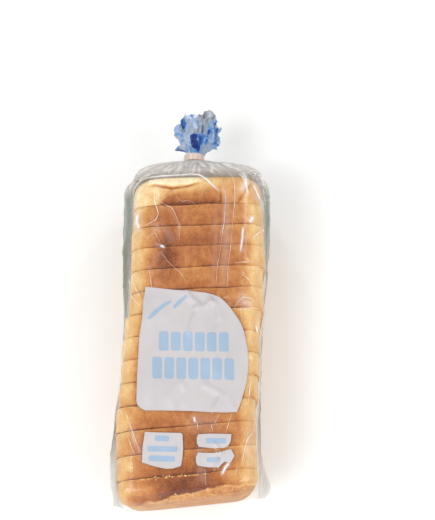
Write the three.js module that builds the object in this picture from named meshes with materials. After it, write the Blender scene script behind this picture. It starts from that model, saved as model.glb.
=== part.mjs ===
// Sliced loaf in a clear film bag, lying on its base with its browned top crust up.
// Millimetres, +Z up, long axis along Y, and the taped, ruffled mouth of the bag towards +Y.
// The film bag with the loaf packed tight inside it is one solid, because the bag is shut.
import * as THREE from "three";

// The loaf, which is cut across into slices with a heel at each end
const SLICE_PITCH = 16.7;
const BOTTOM_HEEL = 17.5;
const TOP_HEEL = 22.5;
const LOAF_WIDTH = 100.5;
const LOAF_HEIGHT = 98.4;
const CORNER_POWER = 6.5; // of the superellipse that rounds the loaf's long edges
const FILM_LIFT = 0.8; // how far the film stands off the crust
const GROOVE_DEPTH = 1.2; // where the film dips between two slices
const BASE_SAG = 2.2; // how far the rounded underside is pressed flat
const YAW_TOP = THREE.MathUtils.degToRad(1.4); // the slices fan out from the top heel
const YAW_BOTTOM = THREE.MathUtils.degToRad(5.7); // towards the bottom one
// How far each piece is pushed out of line to the right, from the bottom heel to the top heel
const PIECE_SHIFT = [-2.4, -3.1, -3.7, -4.1, -2.6, -1.3, -0.7, -0.1, 2.7, 2.9, 4, 3.5, 3.6, 3];

// The two loose side folds of the film: how far out from the middle line each stands, at
// evenly spaced places from the bottom end to the shoulders
const FOLD_RIGHT = [59.5, 51.6, 51.4, 52.8, 54.6, 58, 60.2, 61.5];
const FOLD_LEFT = [59, 62, 57.6, 55, 54.4, 56, 57, 57.6];
const FOLD_HALF_HEIGHT = 8.5;

// The rounded bottom end with its welded seam, which runs out to an ear at each side
const END_GAP = 0.8; // between the bottom heel and the film
const END_ROUND = 13;
const EAR_AT_END = 0.88; // how much of an ear's reach is left at the very end
const SEAM_HEIGHT = 1;
const SEAM_HALF_WIDTH = 2.6;
const LEFT_EAR_TUCK = 5.5; // how far the left ear is drawn up along the bag
const LEFT_EAR_LENGTH = 30;

// The shoulders, where the film draws in to the neck
const SHOULDER_LENGTH = 31;
const SHOULDER_POWER_X = 4; // boxy seen from above
const SHOULDER_POWER_Z = 1.5; // and sloping down to the neck seen from the side
const SHOULDER_PLEATS = 11;
const SHOULDER_PLEAT_DEPTH = 0.07; // as a share of the radius

// The neck, its tape and the ruffled mouth
const NECK_RADIUS = 7.4;
const NECK_X = -0.6;
const NECK_Z = 55;
const NECK_LENGTH = 6;
const TAPE_GAP = 0.3;
const TAPE_THICKNESS = 0.8;
const TAPE_INSET = 0.2; // from each end of the neck
const RUFFLE_RADIUS = 16.5;
const RUFFLE_LEAN_X = 2.6; // the ruffle lies over a little to the right
const PLEAT_DEPTH = 5.4;
const LEFT_TAPER = 0.24; // how much narrower the ruffle's lower left side is
// How far the ruffle's rim stands out along the bag, evenly spaced from its left to its right
const RIM_REACH = [22, 28, 32.5, 31, 29, 32, 34.5, 34.5, 26];
const RIM_HALF_WIDTH = 18;
const RUFFLE_WALL = 2.4; // measured along the radius, so that steep pleats are about 1 mm thick

// Mesh resolution
const AROUND = 80;
const END_ROWS = 4;
const SHOULDER_ROWS = 8;
const RUFFLE_ROWS = 8;

const FULL_TURN = 2 * Math.PI;
const pieceCount = PIECE_SHIFT.length;
const loafLength = (pieceCount - 2) * SLICE_PITCH + BOTTOM_HEEL + TOP_HEEL;
const loafEnd = loafLength / 2;
const halfWidth = LOAF_WIDTH / 2 + FILM_LIFT;
const halfHeight = LOAF_HEIGHT / 2 + FILM_LIFT;
const neckStart = loafEnd + SHOULDER_LENGTH;
const neckEnd = neckStart + NECK_LENGTH;

const smooth = (from, to, value) => THREE.MathUtils.smoothstep(value, from, to);

// The cut below piece number k; cut 0 is the loaf's bottom end and the last is its top end.
function cutPlace(k) {
  if (k === 0) {
    return -loafEnd;
  }
  if (k === pieceCount) {
    return loafEnd;
  }
  return -loafEnd + BOTTOM_HEEL + (k - 1) * SLICE_PITCH;
}

function yawAt(y) {
  const share = THREE.MathUtils.clamp(0.5 - y / loafLength, 0, 1);
  return THREE.MathUtils.lerp(YAW_TOP, YAW_BOTTOM, share);
}

// Draws the angles together at the four long edges, where the section bends most.
function spread(angle) {
  return angle + 0.12 * Math.sin(4 * angle);
}

// The value between evenly spaced stations, at a share of their whole length
function between(stations, share) {
  const place = THREE.MathUtils.clamp(share, 0, 1) * (stations.length - 1);
  const before = Math.min(Math.floor(place), stations.length - 2);
  const part = smooth(0, 1, place - before);
  return THREE.MathUtils.lerp(stations[before], stations[before + 1], part);
}

// How far out a side fold stands at a place along the bag
function foldAt(stations, y) {
  return between(stations, 0.5 + y / loafLength);
}

// The underside is pressed flat on the ground and the top stays where it is.
function pressed(high) {
  return Math.max(0, high * (1 + BASE_SAG / (2 * halfHeight)) - BASE_SAG);
}

// A point of the bag's rounded square section at a place along the bag. The section and the
// reach of the side folds are drawn in by scale and reachScale towards the bottom end.
function sectionPoint(angle, y, inset, shift, scale = 1, reachScale = 1) {
  const turned = spread(angle);
  const c = Math.cos(turned);
  const s = Math.sin(turned);
  const a = halfWidth - inset;
  const b = halfHeight - inset;
  const power = CORNER_POWER;
  const reach = Math.pow(Math.abs(c / a) ** power + Math.abs(s / b) ** power, -1 / power);
  const x = (reach * c + shift) * scale;
  const high = reach * s * scale;
  const side = reachScale * (c > 0 ? foldAt(FOLD_RIGHT, y) : -foldAt(FOLD_LEFT, y));
  const onFold = Math.abs(c) > 0.7 ? Math.exp(-((high / FOLD_HALF_HEIGHT) ** 2)) : 0;
  return new THREE.Vector2(THREE.MathUtils.lerp(x, side, onFold), high);
}

// One closed ring of the bag where the film lies on the loaf
function loafRing(y, shift, inset) {
  return (angle) => {
    const p = sectionPoint(angle, y, inset, shift);
    return new THREE.Vector3(p.x, y + p.x * Math.tan(yawAt(y)), pressed(p.y + halfHeight));
  };
}

// Rings of the bottom end from its middle outwards and round its edge: the share of the
// section's size, the share of the ears' reach, and how far the ring is above the end
function endSteps() {
  const steps = [
    [0, 0, 0],
    [0.45, 0.5, 0],
  ];
  for (let row = 0; row <= END_ROWS; row += 1) {
    const turn = ((row / END_ROWS) * Math.PI) / 2;
    const inset = END_ROUND * (1 - Math.sin(turn));
    const ear = THREE.MathUtils.lerp(EAR_AT_END, 1, Math.sin(turn));
    steps.push([1 - inset / halfWidth, ear, END_ROUND * (1 - Math.cos(turn))]);
  }
  return steps;
}

function bottomRings() {
  const end = -loafEnd - END_GAP;
  return endSteps().map(([scale, ear, above]) => (angle) => {
    const y = end + above;
    const p = sectionPoint(angle, y, 0, PIECE_SHIFT[0], scale, ear);
    const onEnd = 1 - smooth(0, END_ROUND, above);
    const seam = SEAM_HEIGHT * onEnd * Math.exp(-((p.y / SEAM_HALF_WIDTH) ** 2));
    const z = pressed(p.y + halfHeight);
    const tuck = LEFT_EAR_TUCK * smooth(45, 57, -p.x) * (1 - smooth(0, LEFT_EAR_LENGTH, above));
    return new THREE.Vector3(p.x, y + p.x * Math.tan(yawAt(y)) - seam + tuck, z);
  });
}

// A ring at every cut, dipped in, and one round the middle of every piece above it
function sliceRings() {
  const rings = [];
  for (let k = 1; k < pieceCount; k += 1) {
    const low = cutPlace(k);
    const high = cutPlace(k + 1);
    rings.push(loafRing(low, (PIECE_SHIFT[k - 1] + PIECE_SHIFT[k]) / 2, GROOVE_DEPTH));
    rings.push(loafRing((low + high) / 2, PIECE_SHIFT[k], 0));
  }
  return rings;
}

// The film draws in from the top heel to the neck, in pleats that deepen towards it.
function shoulderRings() {
  const rings = [];
  const shift = PIECE_SHIFT[pieceCount - 1];
  const start = loafEnd - 3;
  for (let row = 0; row < SHOULDER_ROWS; row += 1) {
    const s = 1 - Math.pow(1 - row / SHOULDER_ROWS, 1.6);
    const y = THREE.MathUtils.lerp(start, neckStart, s);
    const drawX = Math.pow(s, SHOULDER_POWER_X);
    const drawZ = Math.pow(s, SHOULDER_POWER_Z);
    const level = y * (1 - s) + neckStart * s;
    rings.push((angle) => {
      const p = sectionPoint(angle, start, 0, shift);
      const pleat = 1 + SHOULDER_PLEAT_DEPTH * smooth(0.35, 0.8, s) * Math.cos(SHOULDER_PLEATS * angle);
      const neckX = NECK_X + NECK_RADIUS * Math.cos(angle);
      const neckHigh = NECK_Z + NECK_RADIUS * Math.sin(angle);
      const x = THREE.MathUtils.lerp(p.x, neckX, drawX);
      const z = THREE.MathUtils.lerp(pressed(p.y + halfHeight), neckHigh, drawZ);
      const skew = p.x * Math.tan(YAW_TOP) * (1 - s);
      return new THREE.Vector3(
        NECK_X + (x - NECK_X) * pleat,
        level + skew,
        Math.max(0, NECK_Z + (z - NECK_Z) * pleat),
      );
    });
  }
  return rings;
}

function neckRing(y) {
  return (angle) =>
    new THREE.Vector3(
      NECK_X + NECK_RADIUS * Math.cos(angle),
      y,
      NECK_Z + NECK_RADIUS * Math.sin(angle),
    );
}

// Uneven petals of the gathered film, from -1 to 1, twisting a little towards the rim
function petal(angle, s) {
  const wide = 0.55 * Math.cos(6 * angle + 0.6 + 0.9 * s);
  const narrow = 0.3 * Math.cos(11 * angle + 2.1 - 1.4 * s);
  const slow = 0.15 * Math.cos(3 * angle - 1.1);
  return wide + narrow + slow;
}

// A ring of the ruffled mouth at share s of its length; inwards is how far inside its outer face.
function ruffleRing(s, inwards) {
  return (angle) => {
    const flare = THREE.MathUtils.lerp(NECK_RADIUS, RUFFLE_RADIUS, smooth(0, 0.34, s));
    const depth = PLEAT_DEPTH * smooth(0, 0.5, s);
    const onLeft = smooth(0.2, 0.9, -Math.cos(angle)) * (1 - smooth(0.42, 0.72, s));
    const radius = (flare + depth * petal(angle, s)) * (1 - LEFT_TAPER * onLeft) - inwards;
    const x = NECK_X + RUFFLE_LEAN_X * s + radius * Math.cos(angle);
    const y = neckEnd + s * between(RIM_REACH, 0.5 + x / (2 * RIM_HALF_WIDTH));
    return new THREE.Vector3(x, y, NECK_Z + radius * Math.sin(angle));
  };
}

// Up the outside of the ruffle, over its rim and down the inside to a closed floor
function ruffleRings() {
  const rings = [];
  for (let row = 1; row <= RUFFLE_ROWS; row += 1) {
    rings.push(ruffleRing(row / RUFFLE_ROWS, 0));
  }
  for (let row = RUFFLE_ROWS; row >= 2; row -= 1) {
    rings.push(ruffleRing(row / RUFFLE_ROWS, RUFFLE_WALL));
  }
  rings.push(() => new THREE.Vector3(NECK_X, neckEnd + 0.12 * RIM_REACH[4], NECK_Z));
  return rings;
}

// A closed skin over a row of rings, the first and last of which shrink to a point
function skinOver(rings) {
  const profile = rings.map((_, row) => new THREE.Vector2(1, row));
  const geometry = new THREE.LatheGeometry(profile, AROUND);
  const position = geometry.attributes.position;
  for (let i = 0; i < position.count; i += 1) {
    const row = i % rings.length;
    const column = Math.floor(i / rings.length) % AROUND;
    const place = rings[row](FULL_TURN * (1 - column / AROUND));
    position.setXYZ(i, place.x, place.y, place.z);
  }
  geometry.computeVertexNormals();
  return geometry;
}

function makeBag() {
  const rings = [
    ...bottomRings(),
    ...sliceRings(),
    ...shoulderRings(),
    neckRing(neckStart),
    neckRing(neckEnd),
    ...ruffleRings(),
  ];
  const film = new THREE.MeshStandardMaterial({ color: 0xc98a55, roughness: 0.25, metalness: 0 });
  const bag = new THREE.Mesh(skinOver(rings), film);
  bag.name = "bag";
  return bag;
}

// The band of tape wound round the neck
function makeTape() {
  const inner = NECK_RADIUS + TAPE_GAP;
  const outer = inner + TAPE_THICKNESS;
  const low = neckStart + TAPE_INSET;
  const high = neckEnd - TAPE_INSET;
  const profile = [
    new THREE.Vector2(inner, low),
    new THREE.Vector2(outer, low),
    new THREE.Vector2(outer, high),
    new THREE.Vector2(inner, high),
    new THREE.Vector2(inner, low),
  ];
  const paper = new THREE.MeshStandardMaterial({ color: 0xdcc9bd, roughness: 0.4, metalness: 0 });
  const tape = new THREE.Mesh(new THREE.LatheGeometry(profile, AROUND / 2), paper);
  tape.name = "neck_tape";
  tape.position.set(NECK_X, 0, NECK_Z);
  return tape;
}

// Centres the model over its base, so that the origin is the middle of the footprint.
function centred(group) {
  const box = new THREE.Box3().setFromObject(group, true);
  const middle = box.getCenter(new THREE.Vector3());
  group.children.forEach((mesh) => {
    mesh.position.x -= middle.x;
    mesh.position.y -= middle.y;
  });
  return group;
}

const breadBag = new THREE.Group();
breadBag.add(makeBag(), makeTape());

export default centred(breadBag);
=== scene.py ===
"""A sliced loaf in a clear film bag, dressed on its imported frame."""

import math
import random

import bmesh
import bpy
import numpy as np
from mathutils import Matrix, Vector, noise
from mathutils.bvhtree import BVHTree
from mathutils.kdtree import KDTree


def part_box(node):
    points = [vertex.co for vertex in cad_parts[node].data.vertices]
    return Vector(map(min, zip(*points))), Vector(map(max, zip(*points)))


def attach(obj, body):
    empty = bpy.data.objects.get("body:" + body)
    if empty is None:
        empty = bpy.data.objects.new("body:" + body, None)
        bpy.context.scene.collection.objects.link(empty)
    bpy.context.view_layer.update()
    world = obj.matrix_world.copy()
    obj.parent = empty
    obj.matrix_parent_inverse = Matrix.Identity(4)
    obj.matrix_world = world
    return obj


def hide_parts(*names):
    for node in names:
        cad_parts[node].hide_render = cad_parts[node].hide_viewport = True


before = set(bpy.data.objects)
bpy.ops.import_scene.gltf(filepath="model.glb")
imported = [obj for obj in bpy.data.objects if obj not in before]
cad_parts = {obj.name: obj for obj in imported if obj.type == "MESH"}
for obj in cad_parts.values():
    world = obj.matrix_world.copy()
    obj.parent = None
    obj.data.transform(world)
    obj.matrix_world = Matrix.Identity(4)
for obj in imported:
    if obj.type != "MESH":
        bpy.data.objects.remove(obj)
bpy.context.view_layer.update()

bl_info = {
    "name": "Loaf in bread bag",
    "version": (1, 0, 0),
    "blender": (4, 5, 0),
    "location": "View3D > Sidebar > Bread bag",
    "description": "Makes a sliced loaf in a clear film bag with a taped, ruffled mouth",
    "category": "Object",
}

MM = 0.001

# The loaf, in millimetres from its own middle. The numbers are the source's, but for the film's side
# folds, which stand up to 1.6 mm further out to meet the photo's outline.
SLICE_PITCH = 16.7
BOTTOM_HEEL = 17.5
TOP_HEEL = 22.5
LOAF_WIDTH = 100.5
LOAF_HEIGHT = 98.4
CORNER_POWER = 6.5
FILM_LIFT = 0.8
BASE_SAG = 2.2
YAW_TOP = math.radians(1.4)
YAW_BOTTOM = math.radians(5.7)
PIECE_SHIFT = [-2.4, -3.1, -3.7, -4.1, -2.6, -1.3, -0.7, -0.1, 2.7, 2.9, 4, 3.5, 3.6, 3]
FOLD_RIGHT = [59.5, 51.6, 51.4, 52.8, 54.8, 58.7, 61.6, 62]
FOLD_LEFT = [59, 62, 59.2, 55.8, 54.8, 56.6, 57.8, 58]
END_GAP = 0.8
END_ROUND = 13
EAR_AT_END = 0.88
SEAM_HEIGHT = 1
SEAM_HALF_WIDTH = 2.6
LEFT_EAR_TUCK = 5.5
LEFT_EAR_LENGTH = 30
SHOULDER_LENGTH = 31
SHOULDER_POWER_X = 4
SHOULDER_POWER_Z = 1.5
NECK_RADIUS = 7.4
NECK_X = -0.6
NECK_Z = 55
NECK_LENGTH = 6
RUFFLE_RADIUS = 16.5
RUFFLE_LEAN_X = 2.6
PLEAT_DEPTH = 5.4
LEFT_TAPER = 0.24
RIM_REACH = [22, 28, 32.5, 31, 29, 32, 34.5, 34.5, 26]
RIM_HALF_WIDTH = 18

PIECES = len(PIECE_SHIFT)
LAST = PIECES - 1
LOAF_LENGTH = (PIECES - 2) * SLICE_PITCH + BOTTOM_HEEL + TOP_HEEL
LOAF_END = LOAF_LENGTH / 2
HALF_WIDTH = LOAF_WIDTH / 2
HALF_HEIGHT = LOAF_HEIGHT / 2
MIDDLE_Z = HALF_HEIGHT + FILM_LIFT
NECK_START = LOAF_END + SHOULDER_LENGTH
NECK_END = NECK_START + NECK_LENGTH

# The loaf's middle in the frame, found from the tape round the neck
TAPE_LOW, TAPE_HIGH = (Vector(corner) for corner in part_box("neck_tape"))
TAPE_MIDDLE = (TAPE_LOW + TAPE_HIGH) / 2
LOAF_ORIGIN = Vector(
    (TAPE_MIDDLE.x - NECK_X * MM, TAPE_MIDDLE.y - (NECK_START + NECK_LENGTH / 2) * MM, 0)
)

# The camera, from the measured cut lines: it looks along +Y and down
EYE_PITCH = math.radians(72)
EYE_FOCAL_PX = 900
EYE_DEPTH = 654.5
PICTURE_SIZE = (435, 520)
TOP_MIDDLE_PX = (191.7, 329)
EYE_FORWARD = Vector((0, math.cos(EYE_PITCH), -math.sin(EYE_PITCH)))
EYE_UP = Vector((0, math.sin(EYE_PITCH), math.cos(EYE_PITCH)))
EYE_RIGHT = Vector((1, 0, 0))


def eye_ray(px, py):
    """The direction from the camera through a pixel of the picture."""
    across = (px - PICTURE_SIZE[0] / 2) / EYE_FOCAL_PX
    up = (PICTURE_SIZE[1] / 2 - py) / EYE_FOCAL_PX
    return EYE_FORWARD + EYE_RIGHT * across + EYE_UP * up


EYE = Vector((0, 0, 2 * MIDDLE_Z)) - eye_ray(*TOP_MIDDLE_PX) * EYE_DEPTH


def seen_at(px, py, high=2 * MIDDLE_Z):
    """The place at that height that shows at a pixel of the picture, as X and Y from the loaf's middle."""
    ray = eye_ray(px, py)
    place = EYE + ray * ((high - EYE.z) / ray.z)
    return place.x, place.y


def on_loaf(path, high=2 * MIDDLE_Z):
    """A line in the picture as places on the loaf."""
    return [seen_at(px, py, high) for px, py in path]


def line_at(path, x):
    """How far along the loaf a line in the picture is, at each X."""
    return np.interp(x, *zip(*on_loaf(path)))


def bell(far, half_width):
    """1 in the middle, falling off evenly on both sides."""
    return np.exp(-((far / half_width) ** 2))


def smooth(low, high, value):
    """0 below low, 1 above high and an even curve between."""
    share = np.clip((value - low) / (high - low), 0, 1)
    return share * share * (3 - 2 * share)


def cut_place(k):
    """Where the cut under a piece is along the loaf."""
    if k <= 0:
        return -LOAF_END
    if k >= PIECES:
        return LOAF_END
    return -LOAF_END + BOTTOM_HEEL + (k - 1) * SLICE_PITCH


def yaw_at(y):
    """How far the loaf is turned at a place along it: it's bent a little."""
    share = np.clip(0.5 - y / LOAF_LENGTH, 0, 1)
    return YAW_TOP + (YAW_BOTTOM - YAW_TOP) * share


def pressed(high):
    """The underside is pressed flat and the top stays where it is."""
    return np.maximum(0, high * (1 + BASE_SAG / (2 * MIDDLE_Z)) - BASE_SAG)


def distance_to_path(x, y, path):
    """How far each point is from a line of straight steps, and the share of its length there."""
    best = np.full(x.shape, 1e9)
    along = np.zeros(x.shape)
    lengths = [math.dist(a, b) for a, b in zip(path, path[1:])]
    total = sum(lengths)
    run = 0
    for (ax, ay), (bx, by), length in zip(path, path[1:], lengths):
        t = np.clip(((x - ax) * (bx - ax) + (y - ay) * (by - ay)) / max(length**2, 1e-9), 0, 1)
        far = np.hypot(x - ax - t * (bx - ax), y - ay - t * (by - ay))
        nearer = far < best
        best = np.where(nearer, far, best)
        along = np.where(nearer, (run + t * length) / total, along)
        run += length
    return best, along


def noise_at(x, y, z, size, seed=0):
    """Smooth noise from -1 to 1 with bumps of about that size, for arrays of millimetres."""
    flat = np.stack([np.ravel(x), np.ravel(y), np.ravel(z)], axis=1) / size + seed * 17.3
    return np.array([noise.noise(Vector(p)) for p in flat]).reshape(np.shape(x))


def wrapped_grid(name, columns, rows, place):
    """A grid of that many faces whose points go where place says, with its seam and poles closed."""
    bm = bmesh.new()
    bmesh.ops.create_grid(bm, x_segments=columns, y_segments=rows, size=0.5)
    mesh = bpy.data.meshes.new(name)
    bm.to_mesh(mesh)
    flat = np.empty(len(mesh.vertices) * 3)
    mesh.vertices.foreach_get("co", flat)
    grid = flat.reshape(-1, 3)
    grid[:] = np.stack(place(grid[:, 0] + 0.5, grid[:, 1] + 0.5), axis=1)
    mesh.vertices.foreach_set("co", grid.ravel())
    bm.clear()
    bm.from_mesh(mesh)
    bmesh.ops.remove_doubles(bm, verts=bm.verts, dist=0.002)
    bmesh.ops.recalc_face_normals(bm, faces=bm.faces)
    bm.to_mesh(mesh)
    bm.free()
    return mesh


def mesh_points(mesh):
    flat = np.empty(len(mesh.vertices) * 3)
    mesh.vertices.foreach_get("co", flat)
    return flat.reshape(-1, 3)


def set_points(mesh, points):
    mesh.vertices.foreach_set("co", np.ascontiguousarray(points).ravel())
    mesh.update()


def put_attribute(mesh, name, values):
    layer = mesh.attributes.new(name, "FLOAT", "POINT")
    layer.data.foreach_set("value", np.ascontiguousarray(values, dtype=np.float32))


def add_piece(mesh, *materials, smooth_faces=True):
    """Takes a mesh made in millimetres to its place in the frame and makes its object."""
    mesh.transform(Matrix.Translation(LOAF_ORIGIN) @ Matrix.Scale(MM, 4))
    for material in materials:
        mesh.materials.append(material)
    for polygon in mesh.polygons:
        polygon.use_smooth = smooth_faces
    piece = bpy.data.objects.new(mesh.name, mesh)
    bpy.context.scene.collection.objects.link(piece)
    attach(piece, "root")
    return piece


# Materials


class NodeDesk:
    """Makes and links the nodes of one material."""

    def __init__(self, name):
        self.material = bpy.data.materials.new(name)
        self.material.use_nodes = True
        self.tree = self.material.node_tree
        self.tree.nodes.clear()
        self.output = self.add("ShaderNodeOutputMaterial")

    def add(self, kind, **settings):
        node = self.tree.nodes.new(kind)
        for key, value in settings.items():
            setattr(node, key, value)
        return node

    def link(self, source, target):
        self.tree.links.new(source, target)

    def fill(self, socket, value):
        if isinstance(value, bpy.types.NodeSocket):
            self.link(value, socket)
        else:
            socket.default_value = value

    def maths(self, operation, a, b=0.0, clamp=False):
        node = self.add("ShaderNodeMath", operation=operation, use_clamp=clamp)
        self.fill(node.inputs[0], a)
        self.fill(node.inputs[1], b)
        return node.outputs[0]

    def attribute(self, name):
        return self.add("ShaderNodeAttribute", attribute_name=name).outputs["Fac"]

    def place(self, scale=(1, 1, 1)):
        """Object coordinates from the loaf's middle."""
        here = self.add("ShaderNodeTexCoord").outputs["Object"]
        mapping = self.add("ShaderNodeMapping")
        self.link(here, mapping.inputs["Vector"])
        mapping.inputs["Location"].default_value = [-o * s for o, s in zip(LOAF_ORIGIN, scale)]
        mapping.inputs["Scale"].default_value = scale
        return mapping.outputs[0]

    def noise(self, scale, detail=3.0, roughness=0.5, stretch=(1, 1, 1)):
        node = self.add("ShaderNodeTexNoise")
        self.link(self.place(stretch), node.inputs["Vector"])
        node.inputs["Scale"].default_value = scale
        node.inputs["Detail"].default_value = detail
        node.inputs["Roughness"].default_value = roughness
        return node.outputs["Fac"]

    def pores(self, scale):
        node = self.add("ShaderNodeTexVoronoi")
        self.link(self.place(), node.inputs["Vector"])
        node.inputs["Scale"].default_value = scale
        return node.outputs["Distance"]

    def spread(self, value, low, high, to_low=0.0, to_high=1.0):
        node = self.add("ShaderNodeMapRange")
        self.link(value, node.inputs["Value"])
        node.inputs["From Min"].default_value = low
        node.inputs["From Max"].default_value = high
        node.inputs["To Min"].default_value = to_low
        node.inputs["To Max"].default_value = to_high
        return node.outputs[0]

    def ramp(self, value, stops):
        node = self.add("ShaderNodeValToRGB")
        elements = node.color_ramp.elements
        while len(elements) < len(stops):
            elements.new(0.5)
        for element, (place, colour) in zip(elements, stops):
            element.position = place
            element.color = (*colour[:3], 1)
        self.link(value, node.inputs["Fac"])
        return node.outputs["Color"]

    def blend(self, share, first, second):
        node = self.add("ShaderNodeMix", data_type="RGBA")
        self.fill(node.inputs["Factor"], share)
        self.fill(node.inputs[6], first)
        self.fill(node.inputs[7], second)
        return node.outputs[2]

    def bump(self, height, distance, strength=1.0):
        node = self.add("ShaderNodeBump")
        node.inputs["Strength"].default_value = strength
        node.inputs["Distance"].default_value = distance
        self.link(height, node.inputs["Height"])
        return node.outputs[0]

    def principled(self, colour, roughness, normal=None, **sockets):
        node = self.add("ShaderNodeBsdfPrincipled")
        self.fill(node.inputs["Base Color"], colour)
        self.fill(node.inputs["Roughness"], roughness)
        if normal is not None:
            self.link(normal, node.inputs["Normal"])
        for key, value in sockets.items():
            node.inputs[key.replace("_", " ")].default_value = value
        return node.outputs[0]

    def finish(self, shader):
        self.link(shader, self.output.inputs["Surface"])
        return self.material


def srgb(red, green, blue):
    """A colour from its everyday 0 to 255 values, as linear light."""
    return tuple(
        c / 12.92 if c <= 0.04045 else ((c + 0.055) / 1.055) ** 2.4
        for c in (red / 255, green / 255, blue / 255)
    )


def crust_material(loaf):
    desk = NodeDesk("browned_crust")
    # The crust's attribute holds its baking and the painted light and shade along the cuts, folds and torn
    # edge.
    level = desk.attribute("browning_and_painted_light")
    mottle = desk.spread(desk.noise(110, 4, 0.55), 0.3, 0.7, -0.06, 0.06)
    streak = desk.spread(desk.noise(300, 4, 0.6, (1, 0.6, 1)), 0.3, 0.7, -0.062, 0.062)
    speck = desk.spread(desk.noise(1300, 2, 0.6), 0.3, 0.7, -0.085, 0.085)
    baked = desk.maths("ADD", desk.maths("ADD", level, mottle), desk.maths("ADD", streak, speck))
    colour = desk.ramp(
        baked,
        [
            (0.0, loaf.crumb_colour),
            (0.22, loaf.pale_crust),
            (0.5, loaf.golden_crust),
            (0.74, loaf.brown_crust),
            (1.0, loaf.dark_crust),
        ],
    )
    fine = desk.noise(900, 4, 0.65)
    broad = desk.noise(160, 3, 0.5)
    height = desk.maths("ADD", desk.maths("MULTIPLY", fine, 0.35), broad)
    normal = desk.bump(height, 0.0007, 0.55)
    roughness = desk.spread(fine, 0.3, 0.7, 0.5, 0.68)
    shader = desk.principled(colour, roughness, normal, Specular_IOR_Level=0.22)
    return desk.finish(shader)


def crumb_material(loaf):
    desk = NodeDesk("open_crumb")
    pores = desk.pores(420)
    small = desk.noise(1300, 3, 0.6)
    shade = desk.spread(pores, 0.1, 0.7, 0.0, 1.0)
    colour = desk.blend(shade, (*srgb(232, 214, 172), 1), (*loaf.crumb_colour[:3], 1))
    height = desk.maths("ADD", shade, desk.maths("MULTIPLY", small, 0.5))
    normal = desk.bump(height, 0.0009, 0.8)
    roughness = desk.spread(small, 0.3, 0.7, 0.8, 0.95)
    return desk.finish(desk.principled(colour, roughness, normal, Specular_IOR_Level=0.2))


MIRROR_ROUGHNESS = 0.17
# The largest share of the light that the film mirrors, at a flat angle
MIRROR_LIMIT = 0.065


def clear_film(desk, haze, tint, gloss_ior):
    """Film that shows what is behind it, mirrors the lights and is milky where it's creased; that milkiness
    is partly painted glints and sheens.
    """
    through = desk.add("ShaderNodeBsdfTransparent")
    through.inputs["Color"].default_value = (0.975, 0.978, 0.98, 1)
    mirror = desk.add("ShaderNodeBsdfAnisotropic")
    mirror.inputs["Color"].default_value = (1, 1, 1, 1)
    mirror.inputs["Roughness"].default_value = MIRROR_ROUGHNESS
    ripple = desk.bump(desk.noise(90, 2, 0.45, (1, 0.35, 1)), 0.0007, 0.22)
    desk.link(ripple, mirror.inputs["Normal"])
    fresnel = desk.add("ShaderNodeFresnel")
    fresnel.inputs["IOR"].default_value = gloss_ior
    desk.link(ripple, fresnel.inputs["Normal"])
    sheet = desk.add("ShaderNodeMixShader")
    desk.link(desk.maths("MINIMUM", fresnel.outputs[0], MIRROR_LIMIT), sheet.inputs["Fac"])
    desk.link(through.outputs[0], sheet.inputs[1])
    desk.link(mirror.outputs[0], sheet.inputs[2])
    milk = desk.principled(tint, 0.35, ripple)
    film = desk.add("ShaderNodeMixShader")
    desk.fill(film.inputs["Fac"], haze)
    desk.link(sheet.outputs[0], film.inputs[1])
    desk.link(milk, film.inputs[2])
    return film.outputs[0]


def film_material(film):
    desk = NodeDesk("clear_film")
    cloud = desk.spread(desk.noise(60, 3, 0.6), 0.45, 0.75, 0.0, 0.008)
    haze = desk.maths("ADD", desk.attribute("haze"), cloud, clamp=True)
    veil = desk.attribute("veil")
    total = desk.maths("ADD", haze, veil, clamp=True)
    share = desk.maths("DIVIDE", veil, desk.maths("MAXIMUM", total, 0.01), clamp=True)
    layers = desk.blend(desk.attribute("murk"), (*film.veil_colour[:3], 1), (*film.murk_colour[:3], 1))
    milk = desk.blend(share, (*film.film_colour[:3], 1), layers)
    return desk.finish(clear_film(desk, total, milk, film.gloss_ior))


def ruffle_material(film, ink):
    desk = NodeDesk("printed_ruffle")
    fields = desk.noise(75, 2, 0.4, (1, 0.55, 1))
    light = desk.noise(130, 3, 0.6, (1, 0.4, 1))
    colour = desk.ramp(
        desk.maths("ADD", fields, desk.attribute("inked")),
        [
            (0.12, (*srgb(118, 122, 127), 1)),
            (0.38, (*srgb(176, 184, 196), 1)),
            (0.52, (*srgb(152, 178, 214), 1)),
            (0.62, (*ink.sky_ink[:3], 1)),
            (0.74, (*ink.blue_ink[:3], 1)),
            (0.9, (*ink.deep_ink[:3], 1)),
        ],
    )
    inked = desk.maths("MULTIPLY", desk.maths("ABSOLUTE", desk.attribute("inked")), 2.5, clamp=True)
    # Pale streaks kept off the inked strokes: painted highlights on the crinkled film.
    pale = desk.spread(light, 0.46, 0.66, 0.0, 0.7)
    highlight_share = desk.maths("MULTIPLY", pale, desk.maths("SUBTRACT", 1.0, inked))
    veil = desk.blend(highlight_share, colour, (*srgb(206, 214, 226), 1))
    solid = desk.maths("ADD", desk.spread(fields, 0.35, 0.6, 0.5, 0.85), inked, clamp=True)
    return desk.finish(clear_film(desk, solid, veil, film.gloss_ior))


def ink_material(name, colour, lift):
    desk = NodeDesk(name)
    wear = desk.noise(420, 3, 0.6)
    cloud = desk.noise(45, 2, 0.5)
    paler = tuple(min(1, c * lift + 0.02) for c in colour[:3])
    mix = desk.blend(desk.spread(cloud, 0.3, 0.7), (*colour[:3], 1), (*paler, 1))
    normal = desk.bump(desk.maths("ADD", cloud, desk.maths("MULTIPLY", wear, 0.12)), 0.0005, 0.4)
    roughness = desk.spread(wear, 0.3, 0.7, 0.42, 0.52)
    return desk.finish(desk.principled(mix, roughness, normal, Specular_IOR_Level=0.4))


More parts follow.
